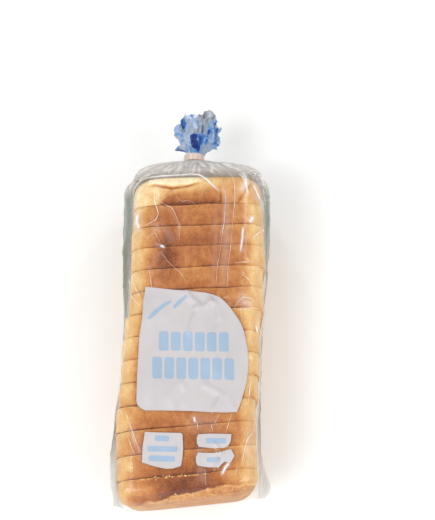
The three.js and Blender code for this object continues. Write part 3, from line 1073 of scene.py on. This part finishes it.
def crumple_corner(x, y, z):
    """Crumples the corner at the right shoulder, and gives its facets milky haze as painted glints."""
    cx, cy = seen_at(262, 183, 72)
    corner = np.exp(-(((x - cx) / 9) ** 2) - ((y - cy) / 11) ** 2) * smooth(30, 52, z)
    facets = noise_at(x, y, z, 2.6, 38)
    x = x + corner * 1.7 * facets
    z = z + corner * 1.8 * noise_at(x, y, z, 2.4, 39)
    return x, z, corner * (0.08 + 0.75 * smooth(0.24, 0.46, np.abs(facets)))


def film_layers(x, y, z, ray, haze):
    """The haze, the veil of loose layers and the murk at the shoulders, side folds, seam and ears."""
    shoulders = smooth(LOAF_END - 2, LOAF_END + 12, y)
    veil = shoulders * (0.6 + 0.12 * noise_at(x, y, z, 9, 40) + 0.12 * ray)
    veil = veil + 0.3 * smooth(NECK_START - 9, NECK_START, y)
    pushed = shift_envelope(y, 1) * (x > 0) + shift_envelope(y, -1) * (x < 0)
    slack_side = smooth(50.8, 54, np.abs(x - pushed)) * bell(z - MIDDLE_Z, 15)
    veil = np.maximum(veil, (0.76 + 0.08 * (x > 0)) * slack_side)
    murk = smooth(0, 0.5, slack_side) * (1 - 0.75 * shoulders) * smooth(-112, -50, y)
    ends = 1 - smooth(-LOAF_END - 2, -LOAF_END + 3, y - x * math.tan(YAW_BOTTOM))
    weld = 0.4 * bell(z - MIDDLE_Z, 2.2) * ends
    ear = smooth(50, 55, np.abs(x)) * (1 - smooth(-LOAF_END + 8, -LOAF_END + 42, y))
    streak = 0.6 + 0.5 * noise_at(x, y * 0.2, z * 0.5, 4, 43)
    haze = np.maximum(haze, np.maximum(0.25 * weld, 0.16 * ear * streak))
    veil = np.maximum(veil, 0.55 * ear * (0.7 + 0.5 * streak))
    murk = np.maximum(murk, 0.34 * ear)
    ridge_line = smooth(51, 56, np.abs(x)) * bell(z - MIDDLE_Z, 3)
    haze = np.maximum(haze, 0.25 * ridge_line)
    return np.clip(haze, 0, 0.9), np.clip(veil, 0, 0.85), murk


# Least height of the film over the floor
FILM_FLOOR = 0.12


def crease_film(mesh, film):
    """Presses the creases into the film and returns how milky each point is."""
    x, y, z = mesh_points(mesh).T.copy()
    on_top = smooth(82, 95, z)
    body = 1 - smooth(LOAF_END + 20, LOAF_END + 34, y)
    lift, haze = crease_marks(x, y, on_top, film)
    wrinkle = 0.2 * noise_at(x, y * 0.35, z, 11, 31) + 0.05 * noise_at(x, y, z, 5, 32)
    z = z + on_top * body * (lift + np.maximum(0, 0.25 + wrinkle))
    sides = (1 - on_top) * smooth(6, 20, z) * body
    slack = 0.9 * noise_at(x * 0.4, y, z, 13, 33) + 0.5 * noise_at(x, y, z, 5, 34)
    x = x + np.sign(x) * sides * np.maximum(-0.1, slack)
    x, y, z, ray, ray_haze = gather_shoulders(x, y, z, body)
    x, z, corner_glints = crumple_corner(x, y, z)
    haze = np.maximum(np.maximum(haze, ray_haze), corner_glints)
    set_points(mesh, np.stack([x, y, np.maximum(z, FILM_FLOOR)], axis=1))
    return film_layers(x, y, z, ray, haze)


def crease_path(path):
    """The picture's line as an even, rounded line on the loaf's top, with its share along it."""
    rough = np.array(on_loaf(path))
    run = np.concatenate([[0], np.cumsum(np.hypot(*np.diff(rough, axis=0).T))])
    count = max(4, int(run[-1] / 0.9))
    share = np.linspace(0, 1, count)
    line = np.stack([np.interp(share * run[-1], run, rough[:, i]) for i in (0, 1)], axis=1)
    for _ in range(3):
        line[1:-1] = (line[:-2] + 2 * line[1:-1] + line[2:]) / 4
    return line, share


# Where rays down to the film start, in metres over the floor
OVER_THE_BAG = 0.13
# How far inside the film the crumbs end at least, in millimetres
TUCK = 0.06


def film_over(tree, x, y, what):
    """Where the film lies over a place on the loaf, in millimetres."""
    start = Vector((x * MM, y * MM, OVER_THE_BAG)) + LOAF_ORIGIN
    hit, _, _, _ = tree.ray_cast(start, Vector((0, 0, -1)))
    if hit is None:
        raise RuntimeError(f"{what} reaches past the film")
    return (hit - LOAF_ORIGIN) / MM


def tucked_under(tree, point):
    """A point in millimetres, moved to just inside the film where it's past it."""
    there = point * MM + LOAF_ORIGIN
    place, normal, _, _ = tree.find_nearest(there)
    past = (there - place).dot(normal) + TUCK * MM
    return (there - normal * max(0, past) - LOAF_ORIGIN) / MM


def make_creases(film, material):
    """Each sharp crease is a thin, tapering pleat that stands out of the film."""
    tree = film_tree()
    curve = bpy.data.curves.new("crease_lines", "CURVE")
    curve.dimensions = "3D"
    curve.bevel_depth = 1.0
    curve.bevel_resolution = 1
    glints = []
    for number, (path, high, half_width, milk) in enumerate(CREASES):
        line, share = crease_path(path)
        spline = curve.splines.new("POLY")
        spline.points.add(len(line) - 1)
        beat = 0.75 + 0.35 * np.sin(share * 9 + number) * np.sin(share * 23 + 2 * number)
        width = 0.54 * milk * half_width**1.3 * np.sin(np.pi * np.clip(share, 0.03, 0.97)) ** 0.7 * beat
        shine = np.clip(0.5 + 0.6 * np.sin(share * 8 + 2.3 * number) * np.sin(share * 5 + number), 0.3, 1.0)
        for point, (x, y), radius, bright in zip(spline.points, line, width, shine):
            place = film_over(tree, x, y, "a crease")
            point.co = (*place, 1)
            point.radius = max(0.05, radius * (0.6 + 0.5 * bright))
            glints.append((place, bright))
    holder = bpy.data.objects.new("crease_lines", curve)
    bpy.context.scene.collection.objects.link(holder)
    bpy.context.view_layer.update()
    mesh = bpy.data.meshes.new_from_object(holder.evaluated_get(bpy.context.evaluated_depsgraph_get()))
    bpy.data.objects.remove(holder)
    bpy.data.curves.remove(curve)
    mesh.name = "film_creases"
    nearest = KDTree(len(glints))
    for number, (place, _) in enumerate(glints):
        nearest.insert(place, number)
    nearest.balance()
    # Each tube's milkiness follows the shine along its crease: painted glints.
    put_film_attributes(mesh, [0.38 + 0.6 * glints[nearest.find(v.co)[1]][1] for v in mesh.vertices], 0)
    return add_piece(mesh, material)


# Where crumbs lie: the line in the picture and how many
CRUMB_LINES = (
    (TORN_EDGE[2:], 20),
    ([(146, 478.5), (175, 476), (203, 471.7)], 13),
    ([(150, 503), (230, 497)], 5),
)
CRUMB_SEED = 5
CRUMB_SIZES = (0.22, 0.6)
CRUMB_SQUASH = (0.7, 1.2)


def make_crumbs(material):
    """Crumbs that have fallen along the torn edge and the lowest cut."""
    draw = random.Random(CRUMB_SEED)
    tree = film_tree()
    bm = bmesh.new()
    for path, count in CRUMB_LINES:
        for _ in range(count):
            along = draw.uniform(0, len(path) - 1.001)
            (ax, ay), (bx, by) = path[int(along)], path[int(along) + 1]
            t = along % 1
            x, y = seen_at(ax + (bx - ax) * t, ay + (by - ay) * t)
            y = y + draw.gauss(0, 0.7)
            size = draw.uniform(*CRUMB_SIZES)
            under = film_over(tree, x, y, "a crumb") - Vector((0, 0, 0.35 + 0.3 * size))
            grain = bmesh.ops.create_icosphere(bm, subdivisions=2, radius=size)["verts"]
            squash = Vector([draw.uniform(*CRUMB_SQUASH) for _ in range(3)])
            for vert in grain:
                wobble = 1 + 0.25 * noise.noise(vert.co * 1.9 + under)
                place = Vector([c * q * wobble for c, q in zip(vert.co, squash)]) + under
                vert.co = tucked_under(tree, place)
    mesh = bpy.data.meshes.new("crumbs")
    bm.to_mesh(mesh)
    bm.free()
    put_attribute(mesh, "browning_and_painted_light", np.array([0.24 + 0.2 * noise.noise(v.co * 0.6) for v in mesh.vertices]))
    return add_piece(mesh, material)


BUNCH_COLUMNS = 90
BUNCH_ROWS = 26
BUNCH_HAZE = 0.3
BUNCH_VEIL = 0.55


def make_neck_bunch(material):
    """The film bunched up inside the tape, which fills the neck."""

    def place(u, v):
        angle = u * 2 * math.pi
        y = NECK_START - 9 + v * (NECK_LENGTH + 15)
        middle = np.clip(np.abs(v - 0.5) * 2, 0, 1)
        radius = (NECK_RADIUS - 0.7) * np.sqrt(np.maximum(0, 1 - middle**4))
        radius = radius * (1 + 0.06 * np.cos(13 * angle + 5 * v) + 0.04 * np.cos(7 * angle - 9 * v))
        return NECK_X + radius * np.cos(angle), y, NECK_Z + radius * np.sin(angle)

    mesh = wrapped_grid("neck_bunch", BUNCH_COLUMNS, BUNCH_ROWS, place)
    put_film_attributes(mesh, BUNCH_HAZE, BUNCH_VEIL)
    return add_piece(mesh, material)


def petal(angle, s):
    """How far the ruffle's pleats stand out round the neck, and how they wander along it."""
    wide = 0.5 * np.cos(6 * angle + 0.6 + 0.9 * s)
    narrow = 0.3 * np.cos(11 * angle + 2.1 - 1.4 * s)
    slow = 0.15 * np.cos(3 * angle - 1.1)
    return wide + narrow + slow


def ruffle_place(inner):
    """Where the points of one sheet of the ruffle go; inner is its size against the outer sheet."""

    def place(u, v):
        angle = u * 2 * math.pi
        s = v
        flare = NECK_RADIUS - 1 + (RUFFLE_RADIUS * inner - NECK_RADIUS) * smooth(-0.02, 0.34, s)
        depth = PLEAT_DEPTH * smooth(0, 0.5, s)
        turned = angle + (1 - inner) * 1.7
        radius = np.maximum(1.5, flare + depth * petal(turned, s))
        left = smooth(0.2, 0.9, -np.cos(angle))
        radius = radius * (1 - LEFT_TAPER * left * (1 - smooth(0.42, 0.72, s)))
        spike = np.exp(-(((s - 0.2) / 0.05) ** 2) - ((angle - 3.0) / 0.16) ** 2)
        radius = radius + 7 * spike * (inner > 0.9)
        x = NECK_X + RUFFLE_LEAN_X * s + radius * np.cos(angle)
        reach = between(RIM_REACH, 0.5 + x / (2 * RIM_HALF_WIDTH)) * (0.82 + 0.18 * inner)
        return x, NECK_END + s * reach, NECK_Z + radius * np.sin(angle)

    return place


# Print on the ruffle: the line of each stroke in the picture, its half width and how dark it is. The last
# one is grey, and lies only on the upper folds.
INK_STROKES = [
    ([(193.4, 138.2), (195, 144.5)], 2.5, 0.5),
    ([(197, 137.4), (203.6, 136.8)], 2.3, 0.27),
    ([(200.5, 140.5), (197, 146)], 2.1, 0.3),
    ([(185, 152.5), (189.5, 153.5)], 1.0, 0.5),
    ([(206, 149), (209.5, 145)], 0.8, 0.5),
    ([(180, 113.5), (182, 119), (184, 127)], 1.7, 0.26),
    ([(175, 121), (176, 129), (180, 132)], 1.7, 0.16),
    ([(192.5, 117), (193.5, 124), (196, 131)], 0.9, 0.16),
    ([(198, 124), (200, 131)], 0.8, 0.12),
    ([(217, 124), (214, 129)], 1.6, 0.26),
    ([(213.5, 131), (213, 142)], 3.4, 0.1),
    ([(219, 134), (217, 139)], 1.2, 0.14),
    ([(221, 136.5), (218, 138)], 0.6, 0.5),
    ([(209, 133), (206, 143)], 0.7, 0.3),
    ([(181, 146), (184, 150), (188, 153)], 1.8, 0.22),
    ([(203, 113), (207, 119), (213, 115)], 4.5, -0.3),
]
RUFFLE_COLUMNS = 210
RUFFLE_ROWS = 46
# The three nested sheets of the mouth: name, size against the outer one, and seed
RUFFLE_SHEETS = (("ruffle_outer", 1.0, 41), ("ruffle_middle", 0.78, 55), ("ruffle_inner", 0.5, 71))
# The crumples in a sheet: their size, how far they push and their layer of noise
RUFFLE_CRUMPLES = ((9, 2.2, 0), (4.2, 1.5, 1), (2.0, 0.6, 2))
# How high the picture's strokes of ink are taken to lie
INK_Z = NECK_Z + 12


def make_ruffle_sheet(name, inner, seed, material):
    """One sheet of the gathered mouth, crumpled at three sizes and marked where it's inked."""
    mesh = wrapped_grid(name, RUFFLE_COLUMNS, RUFFLE_ROWS, ruffle_place(inner))
    p = mesh_points(mesh)
    x, y, z = p.T.copy()
    s = np.clip((y - NECK_END) / max(RIM_REACH), 0, 1)
    loose = smooth(0.02, 0.3, s)
    for size, amount, layer in RUFFLE_CRUMPLES:
        for offset, axis in ((0, x), (5, y), (9, z)):
            bend = noise_at(p[:, 0], p[:, 1] * 0.8, p[:, 2], size, seed + layer + offset)
            axis += loose * amount * (0.6 - 2.2 * np.abs(bend)) * (0.6 if axis is y else 1)
    y = np.maximum(y, NECK_END + 0.3 * s)
    set_points(mesh, np.stack([x, y, z], axis=1))
    inked = np.zeros(len(x))
    ragged = 1.1 * noise_at(x, y * 0.6, z, 3.2, seed + 20) + 0.6 * noise_at(x, y, z, 1.6, seed + 21)
    for path, half_width, amount in INK_STROKES:
        far, _ = distance_to_path(x, y, on_loaf(path, INK_Z))
        upper = smooth(NECK_Z - 12, NECK_Z + 1, z) if amount > 0 else smooth(NECK_Z + 2, NECK_Z + 9, z)
        patch = upper * (1 - smooth(-0.3, 0.4, far - half_width + ragged))
        inked = np.maximum(inked, amount * patch) if amount > 0 else inked + amount * patch
    put_attribute(mesh, "inked", inked)
    return add_piece(mesh, material, smooth_faces=False)


# The print on the film

MAIN_PANEL = [
    (145.5, 286.6), (168.8, 289.4), (190, 291.2), (205, 292.6), (214, 295), (220, 298),
    (225, 302), (230.5, 307.8), (234.6, 313.7), (239, 320), (242.3, 326.4), (244.6, 333.5),
    (246, 341), (247.4, 348), (248, 355), (248.3, 363), (248, 370.5), (247, 379), (245.5, 386),
    (241.5, 400), (237, 412), (226, 412.5), (213, 412.3), (190, 411), (165, 410.6), (145, 410.4),
    (140.6, 408.2), (137.4, 405), (136.3, 401), (137, 378), (138.2, 355), (139.4, 335),
    (142, 319), (143.3, 302),
]  # fmt: skip
SMALL_PANELS = [
    [
        (144.9, 432), (163, 432.6), (180.6, 433), (182.5, 434.5), (183.2, 448), (182.4, 458),
        (181, 466), (173, 468.6), (165.6, 468.8), (155, 466.6), (142, 462.4), (142.6, 447),
    ],
    [
        (198.3, 434.3), (209, 433.7), (231.5, 434), (230.8, 441), (228, 446), (223.8, 448),
        (215.5, 448.4), (206, 447.7), (199, 446.8), (197, 443.5), (196.7, 438),
    ],
    [
        (198.3, 452.5), (210, 453), (219, 452.6), (225.7, 450.4), (230.8, 449), (234.6, 455.7),
        (230.2, 463.4), (225, 461.5), (222, 464), (218.7, 467.5), (208, 467.4), (197.7, 465.6),
        (195.9, 462), (196, 456.5),
    ],
]  # fmt: skip
# Plain bars where the pack's words would be: left, top, right, bottom, how far the right end drops
# and how many blocks the bar is cut into
WORD_BARS = [
    (159, 331.5, 228.5, 350.6, 1.4, 6),
    (152.5, 357, 234, 378.4, 1.8, 7),
    (155, 435.6, 169, 441.2, 0.2, 1),
    (147.4, 446, 177.6, 451.4, 0.6, 1),
    (148.6, 455.4, 175, 461, 0.9, 1),
    (206, 438, 226, 443.2, 0.3, 1),
    (206.5, 457.4, 220, 462, 0.2, 1),
]
# Two tapered strokes where the pack's script would be
SWASHES = [
    [
        (147, 318.5), (150.5, 319.6), (155, 315.6), (163, 308.4), (171, 302.6), (171.4, 299.8),
        (163, 304), (154, 310.6),
    ],
    [(172.6, 307), (175, 308.8), (181, 303), (187.4, 297.4), (186, 295.2), (179, 299.6)],
]  # fmt: skip
PANEL_LIFT = 0.12
BAR_LIFT = 0.2
# How finely the print is cut, so that it follows the film
PRINT_STEP = 1.3
# The gap between two blocks of a bar, in the picture's pixels
BLOCK_GAP = 2.4


def bar_outline(left, top, right, bottom, drop):
    """The corners of a bar with softly rounded ends, as the picture's pixels."""
    r = min(2.2, (bottom - top) * 0.28)
    corners = (
        (left + r, top + r, 180),
        (right - r, top + r, 270),
        (right - r, bottom - r, 0),
        (left + r, bottom - r, 90),
    )
    outline = []
    for cx, cy, start in corners:
        for turn in (0, 30, 60, 90):
            angle = math.radians(start + turn)
            sag = drop * (cx - left) / (right - left)
            outline.append((cx + r * math.cos(angle), cy + sag + r * math.sin(angle)))
    return outline


def word_blocks(left, top, right, bottom, drop, count):
    """A bar cut into even blocks with narrow gaps."""
    pitch = (right - left + BLOCK_GAP) / count
    for i in range(count):
        start = left + i * pitch
        sag = drop * i / count
        yield bar_outline(start, top + sag, start + pitch - BLOCK_GAP, bottom + sag, drop / count)


def put_film_attributes(mesh, haze, veil, murk=0.0):
    """How milky each point of a film piece is, how layered and how shaded."""
    for name, value in (("haze", haze), ("veil", veil), ("murk", murk)):
        put_attribute(mesh, name, np.broadcast_to(np.asarray(value, dtype=float), len(mesh.vertices)))


def film_tree():
    """The film's faces, for finding where it lies."""
    film = bpy.data.objects["film"].data
    points = [vertex.co[:] for vertex in film.vertices]
    return BVHTree.FromPolygons(points, [face.vertices[:] for face in film.polygons])


def print_on_film(name, outlines, lift, material):
    """Flat shapes, cut finely and laid on the film's top side."""
    tree = film_tree()
    bm = bmesh.new()
    for outline in outlines:
        verts = [bm.verts.new((*seen_at(px, py), 0)) for px, py in outline]
        bm.faces.new(verts)
    xs = [v.co.x for v in bm.verts]
    ys = [v.co.y for v in bm.verts]
    for axis, low, high in ((0, min(xs), max(xs)), (1, min(ys), max(ys))):
        normal = Vector((1, 0, 0)) if axis == 0 else Vector((0, 1, 0))
        for i in range(1, int((high - low) / PRINT_STEP) + 1):
            everything = bm.verts[:] + bm.edges[:] + bm.faces[:]
            cut_at = normal * (low + i * PRINT_STEP)
            bmesh.ops.bisect_plane(bm, geom=everything, dist=1e-5, plane_co=cut_at, plane_no=normal)
    bmesh.ops.triangulate(bm, faces=bm.faces)
    for vert in bm.verts:
        vert.co = film_over(tree, vert.co.x, vert.co.y, name) + Vector((0, 0, lift))
    bmesh.ops.recalc_face_normals(bm, faces=bm.faces)
    if sum(face.normal.z for face in bm.faces) < 0:
        bmesh.ops.reverse_faces(bm, faces=bm.faces)
    mesh = bpy.data.meshes.new(name)
    bm.to_mesh(mesh)
    bm.free()
    return add_piece(mesh, material)


# Settings that a user would change


def colour_setting(name, description, default):
    return bpy.props.FloatVectorProperty(
        name=name, description=description, subtype="COLOR", size=3, min=0, max=1, default=default
    )


def length_setting(name, description, default):
    return bpy.props.FloatProperty(
        name=name, description=description, unit="LENGTH", precision=4, default=default
    )


class BREADBAG_PG_loaf(bpy.types.PropertyGroup):
    slice_gap: length_setting("Slice gap", "Least room between two slices", 0.00007)
    crumb_colour: colour_setting("Crumb", "Colour of the cut faces", srgb(248, 232, 196))
    pale_crust: colour_setting(
        "Pale crust", "Colour of the crust along the loaf's long edges", srgb(224, 186, 128)
    )
    golden_crust: colour_setting("Golden crust", "Colour of the lightly baked crust", srgb(199, 143, 82))
    brown_crust: colour_setting("Brown crust", "Colour of the top crust", srgb(167, 98, 47))
    dark_crust: colour_setting("Dark crust", "Colour of the darkest crust", srgb(104, 48, 14))


class BREADBAG_PG_film(bpy.types.PropertyGroup):
    crease_height: length_setting("Crease height", "How high the sharpest creases stand", 0.0002)
    haze: bpy.props.FloatProperty(
        name="Haze", description="How milky the smooth film is", min=0, max=1, default=0.0
    )
    gloss_ior: bpy.props.FloatProperty(
        name="Gloss",
        description="Index of refraction that sets the film's shine",
        min=1,
        max=3,
        default=1.42,
    )
    film_colour: colour_setting("Milky film", "Colour of the film where it turns milky", srgb(250, 249, 247))
    veil_colour: colour_setting("Film layers", "Colour of several loose layers of film", srgb(214, 208, 200))
    murk_colour: colour_setting(
        "Side folds", "Colour of the shaded folds along the sides", srgb(112, 120, 104)
    )


class BREADBAG_PG_print(bpy.types.PropertyGroup):
    panel_ink: colour_setting("Panels", "Colour of the printed panels", srgb(178, 173, 174))
    mark_ink: colour_setting("Bars", "Colour of the bars on the panels", srgb(139, 160, 181))
    sky_ink: colour_setting("Light blue", "Lightest blue on the ruffled mouth", srgb(84, 142, 200))
    blue_ink: colour_setting("Mid blue", "Middle blue on the ruffled mouth", srgb(34, 92, 166))
    deep_ink: colour_setting("Deep blue", "Darkest blue on the ruffled mouth", srgb(6, 40, 112))
    tape_colour: colour_setting("Tape", "Colour of the tape round the neck", srgb(222, 200, 186))


class BREADBAG_PG_stage(bpy.types.PropertyGroup):
    floor_colour: colour_setting("Floor", "Colour of the floor", srgb(240, 240, 239))
    light: bpy.props.FloatProperty(name="Light", description="Strength of all the lamps", min=0, default=0.95)


# Operators


class BREADBAG_OT_slices(bpy.types.Operator):
    """Make the heels and slices of the loaf"""

    bl_idname = "breadbag.slices"
    bl_label = "Make the slices"

    def execute(self, context):
        loaf = context.scene.breadbag_loaf
        crust = made("browned_crust", crust_material, loaf)
        crumb = made("open_crumb", crumb_material, loaf)
        for k in range(PIECES):
            piece = make_slice(k, loaf, crust, crumb)
            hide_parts("bag")
        return {"FINISHED"}


class BREADBAG_OT_film(bpy.types.Operator):
    """Make the clear film round the loaf, with its creases, shoulders and seam"""

    bl_idname = "breadbag.film"
    bl_label = "Make the film"

    def execute(self, context):
        film = context.scene.breadbag_film
        mesh = wrapped_grid("film", FILM_COLUMNS, sum(FILM_ROWS), film_place)
        put_film_attributes(mesh, *crease_film(mesh, film))
        material = made("clear_film", film_material, film)
        pieces = [add_piece(mesh, material), make_creases(film, material), make_neck_bunch(material)]
        for piece in pieces:
            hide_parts("bag")
        make_crumbs(made("browned_crust", crust_material, context.scene.breadbag_loaf))
        return {"FINISHED"}


class BREADBAG_OT_ruffle(bpy.types.Operator):
    """Make the gathered, printed mouth of the bag beyond its tape"""

    bl_idname = "breadbag.ruffle"
    bl_label = "Make the ruffled mouth"

    def execute(self, context):
        scene = context.scene
        material = made("printed_ruffle", ruffle_material, scene.breadbag_film, scene.breadbag_print)
        for name, inner, seed in RUFFLE_SHEETS:
            piece = make_ruffle_sheet(name, inner, seed, material)
            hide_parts("bag")
        return {"FINISHED"}


class BREADBAG_OT_print(bpy.types.Operator):
    """Make the panels printed on the film and the plain bars on them"""

    bl_idname = "breadbag.print"
    bl_label = "Make the print"

    def execute(self, context):
        ink = context.scene.breadbag_print
        pale = ink_material("panel_ink", ink.panel_ink, 1.04)
        blue = ink_material("mark_ink", ink.mark_ink, 1.06)
        print_on_film("print_panels", [MAIN_PANEL, *SMALL_PANELS], PANEL_LIFT, pale)
        bars = [block for bar in WORD_BARS for block in word_blocks(*bar)] + SWASHES
        print_on_film("print_bars", bars, BAR_LIFT, blue)
        return {"FINISHED"}


class BREADBAG_OT_tape(bpy.types.Operator):
    """Give the tape round the neck its finish"""

    bl_idname = "breadbag.tape"
    bl_label = "Finish the tape"

    def execute(self, context):
        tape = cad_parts["neck_tape"]
        tape.data.materials.clear()
        tape.data.materials.append(made("neck_tape_finish", tape_material, context.scene.breadbag_print))
        return {"FINISHED"}


# The lamps, all aimed at the loaf: name, place, size and power
LAMPS = (
    ("key", (-0.8, -0.5, 1.25), (0.8, 0.8), 14),
    ("fill", (1.0, -0.5, 1.0), (0.8, 0.8), 8),
    ("front", (0.1, -1.3, 0.7), (1.8, 1.0), 6),
    ("tube_left", (-0.45, 0.9, 1.3), (0.06, 1.0), 3.2),
    ("tube_right", (0.62, 0.75, 1.2), (0.06, 1.0), 3.2),
)
LAMP_AIM = Vector((0, 0, 0.05))
ROOM_LIGHT = 0.55
FLOOR_HALF_SIDE = 4
FLOOR_DROP = 0.0004
SENSOR_HEIGHT = 36


def add_floor(scene, stage):
    """A wide floor just under the bag."""
    bm = bmesh.new()
    bmesh.ops.create_grid(bm, x_segments=2, y_segments=2, size=FLOOR_HALF_SIDE)
    bmesh.ops.translate(bm, verts=bm.verts, vec=(0, 0, -FLOOR_DROP))
    mesh = bpy.data.meshes.new("floor")
    bm.to_mesh(mesh)
    bm.free()
    mesh.materials.append(made("pale_floor", floor_material, stage))
    floor = bpy.data.objects.new("floor", mesh)
    scene.collection.objects.link(floor)


def add_room(scene, light):
    """Even white light from all sides."""
    world = bpy.data.worlds.new("soft_room")
    world.use_nodes = True
    background = world.node_tree.nodes["Background"]
    background.inputs["Color"].default_value = (1, 1, 1, 1)
    background.inputs["Strength"].default_value = ROOM_LIGHT * light
    scene.world = world


def add_lamp(scene, name, place, size, power):
    """A white lamp with a rectangular face, aimed at the loaf."""
    data = bpy.data.lights.new(name, "AREA")
    data.shape = "RECTANGLE"
    data.size, data.size_y = size
    data.energy = power
    lamp = bpy.data.objects.new(name, data)
    lamp.location = place
    lamp.rotation_euler = (LAMP_AIM - Vector(place)).to_track_quat("-Z", "Y").to_euler()
    scene.collection.objects.link(lamp)


def add_camera(scene):
    """The camera where the photo was taken from."""
    camera = bpy.data.cameras.new("camera")
    camera.sensor_fit = "VERTICAL"
    camera.sensor_height = SENSOR_HEIGHT
    camera.lens = EYE_FOCAL_PX / PICTURE_SIZE[1] * SENSOR_HEIGHT
    camera.clip_start = 0.01
    eye = bpy.data.objects.new("camera", camera)
    eye.location = LOAF_ORIGIN + EYE * MM
    eye.rotation_euler = EYE_FORWARD.to_track_quat("-Z", "Y").to_euler()
    scene.collection.objects.link(eye)
    scene.camera = eye


class BREADBAG_OT_stage(bpy.types.Operator):
    """Make the pale floor, the soft lights and the camera"""

    bl_idname = "breadbag.stage"
    bl_label = "Make the stage"

    def execute(self, context):
        scene = context.scene
        stage = scene.breadbag_stage
        add_floor(scene, stage)
        add_room(scene, stage.light)
        scene.view_settings.view_transform = "Standard"
        for name, place, size, power in LAMPS:
            add_lamp(scene, name, place, size, power * stage.light)
        add_camera(scene)
        return {"FINISHED"}


class BREADBAG_PT_panel(bpy.types.Panel):
    """Lists the steps that make the loaf in its bag"""

    bl_idname = "BREADBAG_PT_panel"
    bl_label = "Loaf in bread bag"
    bl_space_type = "VIEW_3D"
    bl_region_type = "UI"
    bl_category = "Bread bag"

    def draw(self, context):
        for group, names in SETTINGS.items():
            box = self.layout.box()
            for name in names:
                box.prop(getattr(context.scene, group), name)
        for operator in OPERATORS:
            self.layout.operator(operator.bl_idname)


SETTINGS = {
    "breadbag_loaf": ("slice_gap", "crumb_colour", "pale_crust", "golden_crust", "brown_crust", "dark_crust"),
    "breadbag_film": ("crease_height", "haze", "gloss_ior", "film_colour", "veil_colour", "murk_colour"),
    "breadbag_print": ("panel_ink", "mark_ink", "sky_ink", "blue_ink", "deep_ink", "tape_colour"),
    "breadbag_stage": ("floor_colour", "light"),
}
OPERATORS = (
    BREADBAG_OT_slices,
    BREADBAG_OT_film,
    BREADBAG_OT_print,
    BREADBAG_OT_ruffle,
    BREADBAG_OT_tape,
    BREADBAG_OT_stage,
)
GROUPS = {
    "breadbag_loaf": BREADBAG_PG_loaf,
    "breadbag_film": BREADBAG_PG_film,
    "breadbag_print": BREADBAG_PG_print,
    "breadbag_stage": BREADBAG_PG_stage,
}
CLASSES = (*GROUPS.values(), *OPERATORS, BREADBAG_PT_panel)


def register():
    for item in CLASSES:
        bpy.utils.register_class(item)
    for name, group in GROUPS.items():
        setattr(bpy.types.Scene, name, bpy.props.PointerProperty(type=group))


def unregister():
    for name in GROUPS:
        delattr(bpy.types.Scene, name)
    for item in reversed(CLASSES):
        bpy.utils.unregister_class(item)


def main():
    register()
    bpy.ops.breadbag.slices()
    bpy.ops.breadbag.film()
    bpy.ops.breadbag.print()
    bpy.ops.breadbag.ruffle()
    bpy.ops.breadbag.tape()
    bpy.ops.breadbag.stage()
    bpy.context.view_layer.update()


if __name__ == "__main__":
    main()
